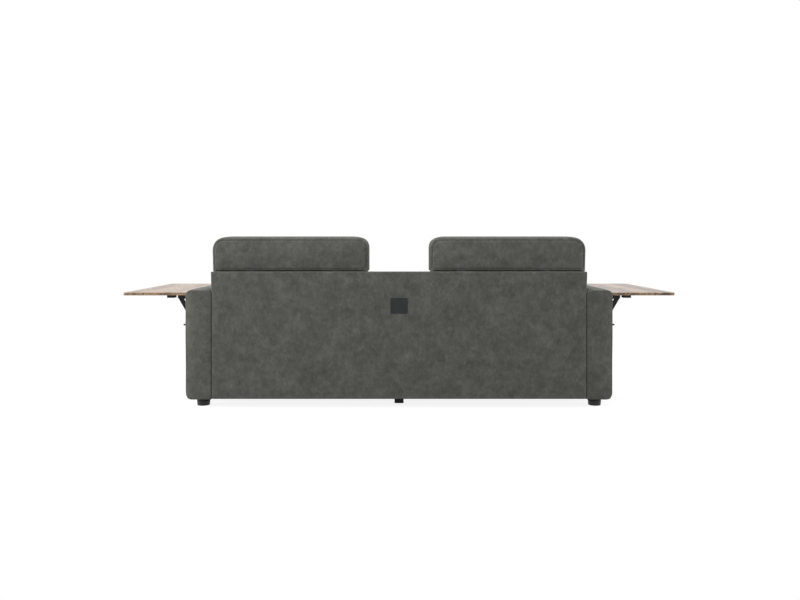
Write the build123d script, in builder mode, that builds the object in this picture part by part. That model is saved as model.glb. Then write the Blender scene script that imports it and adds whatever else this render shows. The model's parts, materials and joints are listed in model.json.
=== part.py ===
from build123d import *
import os
from math import pi, sin, sqrt

# Two-seater sofa with a centre console, tilting headrests and a folding table on each arm.
# The sitter faces -Y and has +X on the left.  The origin is on the floor under the middle.

# Overall sizes
SEAT_WIDTH = 790.0
CONSOLE_WIDTH = 300.0
ARM_WIDTH = 130.0
DEPTH = 980.0
ARM_TOP = 592.0
BACK_TOP = 684.0
SEAT_TOP = 450.0
CONSOLE_TOP = 576.0
HEADREST_HEIGHT = 167.0
ARM_CLEAR = 45.0
BACK_CLEAR = 48.5

# Upholstery over the frame
INNER_PAD = 12.0
OUTER_PAD = 24.0
ARM_TOP_PAD = 22.0
ARM_FRONT_PAD = 24.0
ARM_REAR_PAD = 20.0
ARM_SETBACK = 4.0
ARM_TOP_RADIUS = 30.0
ARM_FOOT_RADIUS = 18.0
ARM_END_RADIUS = 16.0
BACK_PAD = 14.0
BACK_RADIUS = 7.0
BORDER_PAD = 24.0
BORDER_SETBACK = 10.0
BORDER_RADIUS = 9.0
CONSOLE_PAD = 14.0
CONSOLE_RADIUS = 11.0
SOFT_FIT = 0.3

# Timber frame
BOARD = 18.0
RAIL = 26.0
RAIL_BOTTOM = 62.0
RAIL_TOP = 298.0
ARM_RAIL_HEIGHT = 50.0
POST_WIDTH = 40.0
POST_DEPTH = 36.0
TOP_RAIL_HEIGHT = 46.0
BEAM_WIDTH = 80.0
BEAM_HEIGHT = 60.0
FRAME_FIT = 1.0

# Webbing and dust cover
STRAP = 3.0
STRAP_WIDTH = 58.0
SEAT_STRAPS = 6
BACK_STRAPS = 3
BACK_STRAP_FROM = 356.0
BACK_STRAP_STEP = 108.0
DUST_CLOTH = 2.0

# Cushions
CUSHION_GAP = 1.5
CUSHION_CORNER = 34.0
CUSHION_FOOT_EDGE = 14.0
CUSHION_SIDE_DRAW = 3.0
CUSHION_FRONT_BOW = 6.0
EDGE_STEPS = 4
SEAT_CROWN = 34.0
SEAT_CROWN_RUN = 130.0
SEAT_OVERHANG = 4.0
SEAT_WAIST = 4.0
BACK_FOOT_DEPTH = 232.0
BACK_HEAD_DEPTH = 122.0
BACK_SWELL = 26.0
BACK_CROWN = 42.0
BACK_CROWN_RUN = 30.0
BACK_LEVELS = 4
CONSOLE_BACK_DEPTH = 150.0
CONSOLE_BACK_CROWN = 24.0
CONSOLE_BACK_DROP = 10.0

# Headrests
HEADREST_DEPTH = 150.0
HEADREST_SETBACK = 10.0
HEADREST_GAP = 9.0
HEADREST_SIDE_GAP = 2.0
HEADREST_CORNER = 62.0
HEADREST_EDGE = 32.0
HEADREST_FOOT_EDGE = 6.0
HEADREST_FRONT_BOW = 6.0
HEADREST_REAR_BOW = 1.5
HEADREST_SIDE_BOW = 1.0
HEADREST_BOARD_HEIGHT = 120.0
HEADREST_BOARD_MARGIN = 40.0
HEADREST_BOARD_FRONT = 62.0
HINGE_FROM_FRONT = 8.0
HINGE_MARGIN = 180.0
KNUCKLE_RADIUS = 4.0
KNUCKLE_LENGTH = 34.0
KNUCKLE_GAP = 1.0
HINGE_PIN_RADIUS = 2.0
HINGE_STEEL = 3.0
HINGE_STRAP_END = 14.0
PIN_FIT = 0.05

# Plate on the back
PLATE_WIDTH = 85.0
PLATE_HEIGHT = 78.0
PLATE_MIDDLE = 513.0
PLATE_THICKNESS = 4.0
PLATE_PROUD = 2.0
PLATE_CORNER = 5.0

# Feet and their bolts
FOOT_RADIUS = 33.5
FOOT_SOLE_RADIUS = 31.0
FOOT_GROOVE = 2.0
FOOT_GROOVE_HEIGHT = 26.0
FOOT_FROM_INNER_FACE = 60.0
FOOT_FROM_END = 92.0
CENTRE_FOOT = 47.0
CENTRE_FOOT_FROM_END = 146.5
CENTRE_FOOT_EDGE = 3.0
BOLT_RADIUS = 4.0
BOLT_FIT = 0.3
BOLT_HEAD_RADIUS = 6.5
BOLT_HEAD_HEIGHT = 5.5
BOLT_HEAD_SIDES = 6
BOLT_GRIP = 34.0
BORE_RADIUS = 9.0
BORE_DEPTH = 16.0

# Folding tables
TABLE_LENGTH = 810.0
TABLE_REACH = 334.0
TABLE_GAP = 9.0
TABLE_THICKNESS = 14.5
TABLE_DROP = 17.5
TABLE_REAR_INSET = 67.0
TABLE_CORNER = 8.0
TABLE_EDGE = 1.5

# Folding brackets
BRACKET_FROM_END = 85.0
STEEL = 3.0
SIDE_FIT = 1.0
PIVOT_OUT = 16.0
PIVOT_DROP = 14.0
LUG_RADIUS = 9.0
PIVOT_PIN_RADIUS = 4.0
PIN_HEAD = 2.0
STRUT_PIVOT = 51.0
STRUT_LENGTH = 102.0
STRUT_WIDTH = 20.0
STRUT_THICKNESS = 14.0
GUIDE_DEPTH = 11.0
GUIDE_TAIL = 18.0
CATCH_HEIGHT = 3.0
CATCH_LENGTH = 12.0
CATCH_DROP = 7.5
TABLE_ARM_LENGTH = 132.0
TIP_LENGTH = 41.0
TIP_DEPTH = 17.5
SCREW_HOLE_RADIUS = 2.6
SCREW_FROM_END = 10.0

# Bumpers on the arms
BUMPER_FROM_END = 17.0
BUMPER_HEIGHT = 410.0
BUMPER_RADIUS = 4.5
BUMPER_BASE_RADIUS = 9.0
BUMPER_BASE = 3.0
BUMPER_FIT = 0.5

# Places that follow from the sizes
CONSOLE_X = CONSOLE_WIDTH / 2
ARM_IN = CONSOLE_X + SEAT_WIDTH
ARM_OUT = ARM_IN + ARM_WIDTH
FRONT = -DEPTH / 2
REAR = DEPTH / 2
PANEL_REAR = REAR - PLATE_PROUD
ARM_REAR = PANEL_REAR - ARM_SETBACK
POST_REAR = PANEL_REAR - BACK_PAD
POST_FRONT = POST_REAR - POST_DEPTH
WEB_FRONT = POST_FRONT - STRAP
BORDER_FRONT = FRONT + BORDER_SETBACK
RAIL_FRONT = BORDER_FRONT + BORDER_PAD
BACK_INNER = ARM_IN - BACK_PAD
FRAME_X = ARM_IN + INNER_PAD - BOARD
SEAT_BOTTOM = RAIL_TOP + STRAP + SOFT_FIT
BACK_REST = WEB_FRONT - SOFT_FIT

ARM_FRAME_FRONT = FRONT + ARM_FRONT_PAD
ARM_FRAME_REAR = ARM_REAR - ARM_REAR_PAD
ARM_FRAME_IN = ARM_IN + INNER_PAD
ARM_FRAME_OUT = ARM_OUT - OUTER_PAD
ARM_FRAME_TOP = ARM_TOP - ARM_TOP_PAD

HEADREST_BOTTOM = BACK_TOP + HEADREST_GAP
HEADREST_TOP = HEADREST_BOTTOM + HEADREST_HEIGHT
HEADREST_REAR = PANEL_REAR - HEADREST_SETBACK
HEADREST_FRONT = HEADREST_REAR - HEADREST_DEPTH
HEADREST_IN = CONSOLE_X + HEADREST_SIDE_GAP
HINGE_Y = HEADREST_FRONT + HINGE_FROM_FRONT
HINGE_Z = BACK_TOP + KNUCKLE_RADIUS
LEAF_TOP = HINGE_Z + KNUCKLE_RADIUS
LEAF_Y = HEADREST_FRONT + HEADREST_BOARD_FRONT
HINGE_XS = (HEADREST_IN + HINGE_MARGIN, ARM_IN - HINGE_MARGIN)

TABLE_TOP = ARM_TOP - TABLE_DROP
TABLE_UNDER = TABLE_TOP - TABLE_THICKNESS
TABLE_REAR = PANEL_REAR - TABLE_REAR_INSET + PLATE_PROUD
TABLE_MIDDLE = TABLE_REAR - TABLE_LENGTH / 2
BRACKET_REACH = TABLE_LENGTH / 2 - BRACKET_FROM_END
BRACKET_YS = (TABLE_MIDDLE - BRACKET_REACH, TABLE_MIDDLE + BRACKET_REACH)
BUMPER_REACH = TABLE_LENGTH / 2 - BUMPER_FROM_END
BUMPER_YS = (TABLE_MIDDLE - BUMPER_REACH, TABLE_MIDDLE + BUMPER_REACH)
PIVOT_X = ARM_OUT + PIVOT_OUT
PIVOT_Z = TABLE_UNDER - PIVOT_DROP
STRUT_DROP = sqrt(STRUT_LENGTH**2 - STRUT_PIVOT**2)
GUIDE_BOTTOM = PIVOT_Z - STRUT_PIVOT - STRUT_LENGTH - GUIDE_TAIL
GUIDE_TOP = PIVOT_Z + LUG_RADIUS
GUIDE_IN = STRUT_THICKNESS / 2 + SIDE_FIT
GUIDE_OUT = GUIDE_IN + STEEL
TABLE_ARM_IN = GUIDE_OUT + SIDE_FIT
TABLE_ARM_OUT = TABLE_ARM_IN + STEEL

FOOT_X = ARM_IN + FOOT_FROM_INNER_FACE
FOOT_Y = DEPTH / 2 - FOOT_FROM_END
CENTRE_FOOT_Y = DEPTH / 2 - CENTRE_FOOT_FROM_END
FEET = {
    "front_left": (FOOT_X, -FOOT_Y),
    "front_right": (-FOOT_X, -FOOT_Y),
    "rear_left": (FOOT_X, FOOT_Y),
    "rear_right": (-FOOT_X, FOOT_Y),
}
CENTRE_FEET = ((0, -CENTRE_FOOT_Y), (0, CENTRE_FOOT_Y))
PAST = DEPTH

os.makedirs("parts", exist_ok=True)


def save(part, name):
    """Labels a piece and writes its file."""
    part.label = name
    export_step(part, f"parts/{name}.step")


def save_pair(part, name):
    """Writes a piece of the left-hand side and its mirror image on the right."""
    save(part, f"{name}_left")
    save(mirror(part, about=Plane.YZ), f"{name}_right")


def block(x, y, z, mode=Mode.ADD):
    """Adds or cuts a square-edged block between pairs of X, Y and Z."""
    with Locations((x[0], y[0], z[0])):
        low = (Align.MIN, Align.MIN, Align.MIN)
        Box(x[1] - x[0], y[1] - y[0], z[1] - z[0], align=low, mode=mode)


def side(start, end, out):
    """Draws one side of an outline, bowed outwards on the right of its way by the given amount."""
    run = Vector(*end) - Vector(*start)
    normal = Vector(run.Y, -run.X) / run.length
    middle = (Vector(*start) + Vector(*end)) / 2 + normal * out
    ThreePointArc(start, (middle.X, middle.Y), end)


def pillow_outline(x, y, corner, front, sides, rear):
    """Draws a cushion's outline with rounded corners and bowed sides."""
    with BuildLine() as outline:
        side((x[0], y[0]), (x[1], y[0]), front)
        side((x[1], y[0]), (x[1], y[1]), sides)
        side((x[1], y[1]), (x[0], y[1]), rear)
        side((x[0], y[1]), (x[0], y[0]), sides)
    make_face(outline.edges())
    fillet(vertices(), radius=corner)


def drawn_in(height, top, rise, run):
    """Gives how far an edge has drawn in at a height: it rises to its top as it runs inwards."""
    share = min(1.0, max(0.0, 1 - (top - height) / rise))
    return run * (1 - sqrt(1 - share**2))


def edge_levels(top, rise):
    """Lists heights up a rounded edge, closer together towards its top."""
    return [top - rise * (1 - sin(pi / 2 * step / EDGE_STEPS)) for step in range(EDGE_STEPS + 1)]


def foot_levels(bottom, rise):
    """Lists heights up a rounded lower edge, closer together towards its foot."""
    return [-level for level in reversed(edge_levels(-bottom, rise))]


# Feet: turned plastic with a groove round them, bolted up into the arm's bottom rail
for place, (foot_x, foot_y) in FEET.items():
    with BuildPart() as foot:
        with BuildSketch(Plane((foot_x, foot_y, 0), (1, 0, 0), (0, -1, 0))):
            with BuildLine():
                Polyline(
                    (0, 0),
                    (FOOT_SOLE_RADIUS, 0),
                    (FOOT_RADIUS, FOOT_GROOVE_HEIGHT - FOOT_GROOVE),
                    (FOOT_RADIUS - FOOT_GROOVE, FOOT_GROOVE_HEIGHT),
                    (FOOT_RADIUS, FOOT_GROOVE_HEIGHT + FOOT_GROOVE),
                    (FOOT_RADIUS, ARM_CLEAR),
                    (0, ARM_CLEAR),
                    close=True,
                )
            make_face()
        revolve(axis=Axis((foot_x, foot_y, 0), (0, 0, 1)))
        with Locations(Plane((foot_x, foot_y, 0), (1, 0, 0), (0, 0, -1))):
            CounterBoreHole(BOLT_RADIUS + BOLT_FIT, BORE_RADIUS, BORE_DEPTH)
    save(foot.part, f"foot_{place}")

with BuildPart() as centre_feet:
    for foot_x, foot_y in CENTRE_FEET:
        with BuildSketch(Plane((foot_x, foot_y, 0))):
            RectangleRounded(CENTRE_FOOT, CENTRE_FOOT, CENTRE_FOOT_EDGE)
        extrude(amount=RAIL_BOTTOM)
    for foot_x, foot_y in CENTRE_FEET:
        with Locations(Plane((foot_x, foot_y, 0), (1, 0, 0), (0, 0, -1))):
            CounterBoreHole(BOLT_RADIUS + BOLT_FIT, BORE_RADIUS, BORE_DEPTH, RAIL_BOTTOM)
save(centre_feet.part, "centre_feet")

with BuildPart() as foot_bolts:
    bolts = [(place, ARM_CLEAR) for place in FEET.values()]
    bolts += [(place, RAIL_BOTTOM) for place in CENTRE_FEET]
    for (bolt_x, bolt_y), seat in bolts:
        with BuildSketch(Plane((bolt_x, bolt_y, BORE_DEPTH))):
            RegularPolygon(BOLT_HEAD_RADIUS, BOLT_HEAD_SIDES)
        extrude(amount=-BOLT_HEAD_HEIGHT)
        with BuildSketch(Plane((bolt_x, bolt_y, BORE_DEPTH))):
            Circle(BOLT_RADIUS)
        extrude(amount=seat + BOLT_GRIP - BORE_DEPTH)
save(foot_bolts.part, "foot_bolts")

# Arms: a box of boards and rails inside a padded cover that is open underneath
ARM_FRAME_Y = (ARM_FRAME_FRONT, ARM_FRAME_REAR)
ARM_FRAME_Z = (ARM_CLEAR, ARM_FRAME_TOP)
ARM_GAP_X = (ARM_FRAME_IN + BOARD, ARM_FRAME_OUT - BOARD)

with BuildPart() as arm_inner_board:
    block((ARM_FRAME_IN, ARM_FRAME_IN + BOARD), ARM_FRAME_Y, ARM_FRAME_Z)
save_pair(arm_inner_board.part, "arm_inner_board")

with BuildPart() as arm_outer_board:
    block((ARM_FRAME_OUT - BOARD, ARM_FRAME_OUT), ARM_FRAME_Y, ARM_FRAME_Z)
save_pair(arm_outer_board.part, "arm_outer_board")

with BuildPart() as arm_bottom_rail:
    block(ARM_GAP_X, ARM_FRAME_Y, (ARM_CLEAR, ARM_CLEAR + ARM_RAIL_HEIGHT))
    for foot_y in (-FOOT_Y, FOOT_Y):
        with Locations((FOOT_X, foot_y, ARM_CLEAR + ARM_RAIL_HEIGHT)):
            Hole(BOLT_RADIUS + BOLT_FIT, depth=ARM_RAIL_HEIGHT)
save_pair(arm_bottom_rail.part, "arm_bottom_rail")

with BuildPart() as arm_top_rail:
    block(ARM_GAP_X, ARM_FRAME_Y, (ARM_FRAME_TOP - ARM_RAIL_HEIGHT, ARM_FRAME_TOP))
save_pair(arm_top_rail.part, "arm_top_rail")

with BuildPart() as arm_cover:
    with BuildSketch(Plane.XZ.offset(-ARM_REAR)):
        with BuildLine():
            Polyline(
                (ARM_IN, ARM_CLEAR), (ARM_OUT, ARM_CLEAR), (ARM_OUT, ARM_TOP), (ARM_IN, ARM_TOP), close=True
            )
        make_face()
        fillet(vertices().group_by(Axis.Y)[-1], radius=ARM_TOP_RADIUS)
        fillet(vertices().group_by(Axis.Y)[0], radius=ARM_FOOT_RADIUS)
    extrude(amount=ARM_REAR - FRONT)
    ends = faces().sort_by(Axis.Y)
    fillet(ends[0].edges() + ends[-1].edges(), radius=ARM_END_RADIUS)
    block((ARM_FRAME_IN, ARM_FRAME_OUT), ARM_FRAME_Y, (0, ARM_FRAME_TOP), Mode.SUBTRACT)
    cross_rail_y = (RAIL_FRONT - FRAME_FIT, POST_FRONT + FRAME_FIT)
    block((0, ARM_FRAME_IN), cross_rail_y, (0, SEAT_BOTTOM), Mode.SUBTRACT)
save_pair(arm_cover.part, "arm_cover")

# Seat frame, with webbing stretched from the front rail to the rear rail
RAIL_Z = (RAIL_BOTTOM, RAIL_TOP)
RAIL_X = (-FRAME_X, FRAME_X)
REAR_RAIL_Y = (POST_FRONT - RAIL, POST_FRONT)

with BuildPart() as seat_front_rail:
    block(RAIL_X, (RAIL_FRONT, RAIL_FRONT + RAIL), RAIL_Z)
save(seat_front_rail.part, "seat_front_rail")

with BuildPart() as seat_rear_rail:
    block(RAIL_X, REAR_RAIL_Y, RAIL_Z)
save(seat_rear_rail.part, "seat_rear_rail")

with BuildPart() as seat_cross_rail:
    block((FRAME_X, FRAME_X + BOARD), (RAIL_FRONT, POST_FRONT), RAIL_Z)
save_pair(seat_cross_rail.part, "seat_cross_rail")

with BuildPart() as centre_beam:
    beam_z = (RAIL_BOTTOM, RAIL_BOTTOM + BEAM_HEIGHT)
    block((-BEAM_WIDTH / 2, BEAM_WIDTH / 2), (RAIL_FRONT + RAIL, REAR_RAIL_Y[0]), beam_z)
    for foot_x, foot_y in CENTRE_FEET:
        with Locations((foot_x, foot_y, RAIL_BOTTOM + BEAM_HEIGHT)):
            Hole(BOLT_RADIUS + BOLT_FIT, depth=BEAM_HEIGHT)
save(centre_beam.part, "centre_beam")

with BuildPart() as dust_cover:
    block(RAIL_X, (RAIL_FRONT, POST_FRONT), (RAIL_BOTTOM - DUST_CLOTH, RAIL_BOTTOM))
    for foot_x, foot_y in CENTRE_FEET:
        with BuildSketch(Plane((foot_x, foot_y, 0))):
            Rectangle(CENTRE_FOOT + FRAME_FIT, CENTRE_FOOT + FRAME_FIT)
        extrude(amount=RAIL_TOP, mode=Mode.SUBTRACT)
save(dust_cover.part, "dust_cover")

with BuildPart() as seat_webbing:
    strap_step = (FRAME_X - CONSOLE_X) / SEAT_STRAPS
    for strap in range(SEAT_STRAPS):
        strap_x = CONSOLE_X + strap_step / 2 + strap_step * strap
        strap_sides = (strap_x - STRAP_WIDTH / 2, strap_x + STRAP_WIDTH / 2)
        block(strap_sides, (RAIL_FRONT, POST_FRONT), (RAIL_TOP, RAIL_TOP + STRAP))
save_pair(seat_webbing.part, "seat_webbing")

with BuildPart() as front_border:
    border_x = (SOFT_FIT - ARM_IN, ARM_IN - SOFT_FIT)
    block(border_x, (BORDER_FRONT, RAIL_FRONT), (BACK_CLEAR, RAIL_TOP + STRAP))
    border_face = faces().sort_by(Axis.Y)[0]
    fillet(border_face.edges(), radius=BORDER_RADIUS)
save(front_border.part, "front_border")

# Back frame, its webbing and its cover
POST_Z = (RAIL_BOTTOM, BACK_TOP - BACK_PAD - TOP_RAIL_HEIGHT)
POST_Y = (POST_FRONT, POST_REAR)

with BuildPart() as back_top_rail:
    block((-BACK_INNER, BACK_INNER), POST_Y, (POST_Z[1], BACK_TOP - BACK_PAD))
save(back_top_rail.part, "back_top_rail")

with BuildPart() as back_post:
    block((BACK_INNER - POST_WIDTH, BACK_INNER), POST_Y, POST_Z)
save_pair(back_post.part, "back_post")

with BuildPart() as back_post_centre:
    block((-POST_WIDTH / 2, POST_WIDTH / 2), POST_Y, POST_Z)
save(back_post_centre.part, "back_post_centre")

with BuildPart() as back_webbing:
    for strap in range(BACK_STRAPS):
        strap_z = BACK_STRAP_FROM + BACK_STRAP_STEP * strap
        block((-BACK_INNER, BACK_INNER), (WEB_FRONT, POST_FRONT), (strap_z, strap_z + STRAP_WIDTH))
save(back_webbing.part, "back_webbing")

with BuildPart() as back_cover:
    block((-ARM_IN, ARM_IN), (POST_FRONT, PANEL_REAR), (BACK_CLEAR, BACK_TOP))
    back_face = faces().sort_by(Axis.Y)[-1]
    fillet(back_face.edges(), radius=BACK_RADIUS)
    block((-BACK_INNER, BACK_INNER), (0, POST_REAR), (0, BACK_TOP - BACK_PAD), Mode.SUBTRACT)
    with BuildSketch(Plane((0, PANEL_REAR, PLATE_MIDDLE), (1, 0, 0), (0, -1, 0))):
        RectangleRounded(PLATE_WIDTH, PLATE_HEIGHT, PLATE_CORNER)
    extrude(amount=PLATE_THICKNESS - PLATE_PROUD, mode=Mode.SUBTRACT)
save(back_cover.part, "back_cover")

with BuildPart() as back_plate:
    with BuildSketch(Plane((0, REAR, PLATE_MIDDLE), (1, 0, 0), (0, -1, 0))):
        RectangleRounded(PLATE_WIDTH, PLATE_HEIGHT, PLATE_CORNER)
    extrude(amount=PLATE_THICKNESS)
save(back_plate.part, "back_plate")

# Centre console: a timber box on the rails under a padded cover
CONSOLE_FRAME_X = CONSOLE_X - CONSOLE_PAD
CONSOLE_FRAME_TOP = CONSOLE_TOP - CONSOLE_PAD
CONSOLE_SIDE_Z = (RAIL_TOP, CONSOLE_FRAME_TOP - BOARD)
CONSOLE_WELL_X = (BOARD - CONSOLE_FRAME_X, CONSOLE_FRAME_X - BOARD)

with BuildPart() as console_side:
    block((CONSOLE_FRAME_X - BOARD, CONSOLE_FRAME_X), (RAIL_FRONT, WEB_FRONT), CONSOLE_SIDE_Z)
save_pair(console_side.part, "console_side")

with BuildPart() as console_front_board:
    block(CONSOLE_WELL_X, (RAIL_FRONT, RAIL_FRONT + BOARD), CONSOLE_SIDE_Z)
save(console_front_board.part, "console_front_board")

with BuildPart() as console_top_board:
    console_board_z = (CONSOLE_FRAME_TOP - BOARD, CONSOLE_FRAME_TOP)
    block((-CONSOLE_FRAME_X, CONSOLE_FRAME_X), (RAIL_FRONT, WEB_FRONT), console_board_z)
save(console_top_board.part, "console_top_board")

with BuildPart() as console_cover:
    block((-CONSOLE_X, CONSOLE_X), (BORDER_FRONT, WEB_FRONT), (SEAT_BOTTOM, CONSOLE_TOP))
    console_rear = faces().sort_by(Axis.Y)[-1]
    console_bottom = faces().sort_by(Axis.Z)[0]
    hard_edges = console_rear.edges() + console_bottom.edges()
    fillet([edge for edge in edges() if edge not in hard_edges], radius=CONSOLE_RADIUS)
    console_inside = (-CONSOLE_FRAME_X, CONSOLE_FRAME_X)
    block(console_inside, (RAIL_FRONT, PAST), (0, CONSOLE_FRAME_TOP), Mode.SUBTRACT)
save(console_cover.part, "console_cover")

# Cushions: lofted through outlines that draw in at their edges and between their corners
CUSHION_X = (CONSOLE_X + CUSHION_GAP, ARM_IN - CUSHION_GAP)

with BuildPart() as seat_cushion:
    seat_shoulder = SEAT_TOP - SEAT_CROWN
    seat_waist = (SEAT_BOTTOM + CUSHION_FOOT_EDGE + seat_shoulder) / 2
    seat_levels = foot_levels(SEAT_BOTTOM, CUSHION_FOOT_EDGE) + [seat_waist]
    for level in seat_levels + edge_levels(SEAT_TOP, SEAT_CROWN):
        crown = drawn_in(level, SEAT_TOP, SEAT_CROWN, SEAT_CROWN_RUN)
        foot = drawn_in(-level, -SEAT_BOTTOM, CUSHION_FOOT_EDGE, CUSHION_FOOT_EDGE)
        inset = crown + foot + (SEAT_WAIST if level == seat_waist else 0)
        with BuildSketch(Plane.XY.offset(level)):
            pillow_outline(
                (CUSHION_X[0] + inset, CUSHION_X[1] - inset),
                (BORDER_FRONT - SEAT_OVERHANG + inset + CUSHION_FRONT_BOW, BACK_REST - inset),
                CUSHION_CORNER,
                CUSHION_FRONT_BOW,
                -CUSHION_SIDE_DRAW,
                -CUSHION_SIDE_DRAW,
            )
    loft(ruled=True)
save_pair(seat_cushion.part, "seat_cushion")

with BuildPart() as back_cushion:
    back_from = SEAT_TOP + SOFT_FIT
    back_to = BACK_TOP - SOFT_FIT
    back_height = back_to - back_from
    back_body = back_height - BACK_CROWN - CUSHION_FOOT_EDGE
    body_from = back_from + CUSHION_FOOT_EDGE
    body_levels = [body_from + back_body * step / BACK_LEVELS for step in range(1, BACK_LEVELS)]
    back_levels = foot_levels(back_from, CUSHION_FOOT_EDGE) + body_levels
    for level in back_levels + edge_levels(back_to, BACK_CROWN):
        share = (level - back_from) / back_height
        lean = BACK_FOOT_DEPTH + (BACK_HEAD_DEPTH - BACK_FOOT_DEPTH) * share
        swell = BACK_SWELL * sin(pi * share)
        crown = drawn_in(level, back_to, BACK_CROWN, BACK_CROWN_RUN)
        inset = crown + drawn_in(-level, -back_from, CUSHION_FOOT_EDGE, CUSHION_FOOT_EDGE)
        with BuildSketch(Plane.XY.offset(level)):
            pillow_outline(
                (CUSHION_X[0] + inset, CUSHION_X[1] - inset),
                (BACK_REST - lean - swell + inset + CUSHION_FRONT_BOW, BACK_REST),
                CUSHION_CORNER,
                CUSHION_FRONT_BOW,
                -CUSHION_SIDE_DRAW,
                -CUSHION_SIDE_DRAW,
            )
    loft(ruled=True)
save_pair(back_cushion.part, "back_cushion")

with BuildPart() as console_back_pad:
    pad_from = CONSOLE_TOP + SOFT_FIT
    pad_to = BACK_TOP - CONSOLE_BACK_DROP
    pad_levels = foot_levels(pad_from, CUSHION_FOOT_EDGE)
    for level in pad_levels + edge_levels(pad_to, CONSOLE_BACK_CROWN):
        crown = drawn_in(level, pad_to, CONSOLE_BACK_CROWN, CONSOLE_BACK_CROWN)
        inset = crown + drawn_in(-level, -pad_from, CUSHION_FOOT_EDGE, CUSHION_FOOT_EDGE)
        with BuildSketch(Plane.XY.offset(level)):
            pillow_outline(
                (inset + CUSHION_GAP - CONSOLE_X, CONSOLE_X - CUSHION_GAP - inset),
                (BACK_REST - CONSOLE_BACK_DEPTH + inset + CUSHION_FRONT_BOW, BACK_REST),
                CUSHION_CORNER,
                CUSHION_FRONT_BOW,
                -CUSHION_SIDE_DRAW,
                -CUSHION_SIDE_DRAW,
            )
    loft(ruled=True)
save(console_back_pad.part, "console_back_pad")

# Headrests: a padded block over a board, which tilts forwards on two strap hinges
BOARD_X = (HEADREST_IN + HEADREST_BOARD_MARGIN, ARM_IN - HEADREST_BOARD_MARGIN)
BOARD_Y = (LEAF_Y, LEAF_Y + BOARD)
BOARD_Z = (LEAF_TOP, HEADREST_BOTTOM + HEADREST_BOARD_HEIGHT)

with BuildPart() as headrest:
    headrest_levels = foot_levels(HEADREST_BOTTOM, HEADREST_FOOT_EDGE)
    for level in headrest_levels + edge_levels(HEADREST_TOP, HEADREST_CORNER):
        foot = drawn_in(-level, -HEADREST_BOTTOM, HEADREST_FOOT_EDGE, HEADREST_FOOT_EDGE)
        across = foot + drawn_in(level, HEADREST_TOP, HEADREST_CORNER, HEADREST_CORNER)
        along = foot + drawn_in(level, HEADREST_TOP, HEADREST_EDGE, HEADREST_EDGE)
        front = HEADREST_FRONT + along + HEADREST_FRONT_BOW
        with BuildSketch(Plane.XY.offset(level)):
            pillow_outline(
                (HEADREST_IN + across + HEADREST_SIDE_BOW, ARM_IN - across - HEADREST_SIDE_BOW),
                (front, HEADREST_REAR - along - HEADREST_REAR_BOW),
                HEADREST_EDGE,
                HEADREST_FRONT_BOW,
                HEADREST_SIDE_BOW,
                HEADREST_REAR_BOW,
            )
    loft(ruled=True)
    fit = (-SOFT_FIT, SOFT_FIT)
    slot = [tuple(edge + gap for edge, gap in zip(pair, fit)) for pair in (BOARD_X, BOARD_Y, BOARD_Z)]
    block(*slot, Mode.SUBTRACT)
save_pair(headrest.part, "headrest")

with BuildPart() as headrest_board:
    block(BOARD_X, BOARD_Y, BOARD_Z)
save_pair(headrest_board.part, "headrest_board")

with BuildPart() as headrest_straps:
    for hinge_x in HINGE_XS:
        with BuildSketch(Plane.YZ.offset(hinge_x - KNUCKLE_GAP)):
            with Locations((HINGE_Y, HINGE_Z)):
                Circle(KNUCKLE_RADIUS)
            with Locations((HINGE_Y, BACK_TOP)):
                strap_length = POST_REAR - HINGE_STRAP_END - HINGE_Y
                Rectangle(strap_length, HINGE_STEEL, align=(Align.MIN, Align.MIN))
        extrude(amount=-KNUCKLE_LENGTH)
        with BuildSketch(Plane.YZ.offset(hinge_x - KNUCKLE_GAP)):
            with Locations((HINGE_Y, HINGE_Z)):
                Circle(HINGE_PIN_RADIUS)
        extrude(amount=KNUCKLE_LENGTH + 2 * KNUCKLE_GAP)
save_pair(headrest_straps.part, "headrest_straps")

with BuildPart() as headrest_leaves:
    for hinge_x in HINGE_XS:
        with BuildSketch(Plane.YZ.offset(hinge_x + KNUCKLE_GAP)):
            with Locations((HINGE_Y, HINGE_Z)):
                Circle(KNUCKLE_RADIUS)
            with Locations((HINGE_Y, LEAF_TOP)):
                Rectangle(BOARD_Y[1] - HINGE_Y, HINGE_STEEL, align=(Align.MIN, Align.MAX))
            with Locations((HINGE_Y, HINGE_Z)):
                Circle(HINGE_PIN_RADIUS + PIN_FIT, mode=Mode.SUBTRACT)
        extrude(amount=KNUCKLE_LENGTH)
save_pair(headrest_leaves.part, "headrest_leaves")

# Folding tables: the board, its two steel arms, the two struts and the plates on the sofa's arm
with BuildPart() as table_board:
    board_x = (ARM_OUT + TABLE_GAP, ARM_OUT + TABLE_REACH)
    block(board_x, (TABLE_REAR - TABLE_LENGTH, TABLE_REAR), (TABLE_UNDER, TABLE_TOP))
    fillet(edges().filter_by(Axis.Z), radius=TABLE_CORNER)
    chamfer(faces().sort_by(Axis.Z)[-1].edges(), length=TABLE_EDGE)
    chamfer(faces().sort_by(Axis.Z)[0].edges(), length=TABLE_EDGE)
save_pair(table_board.part, "table_board")

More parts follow.
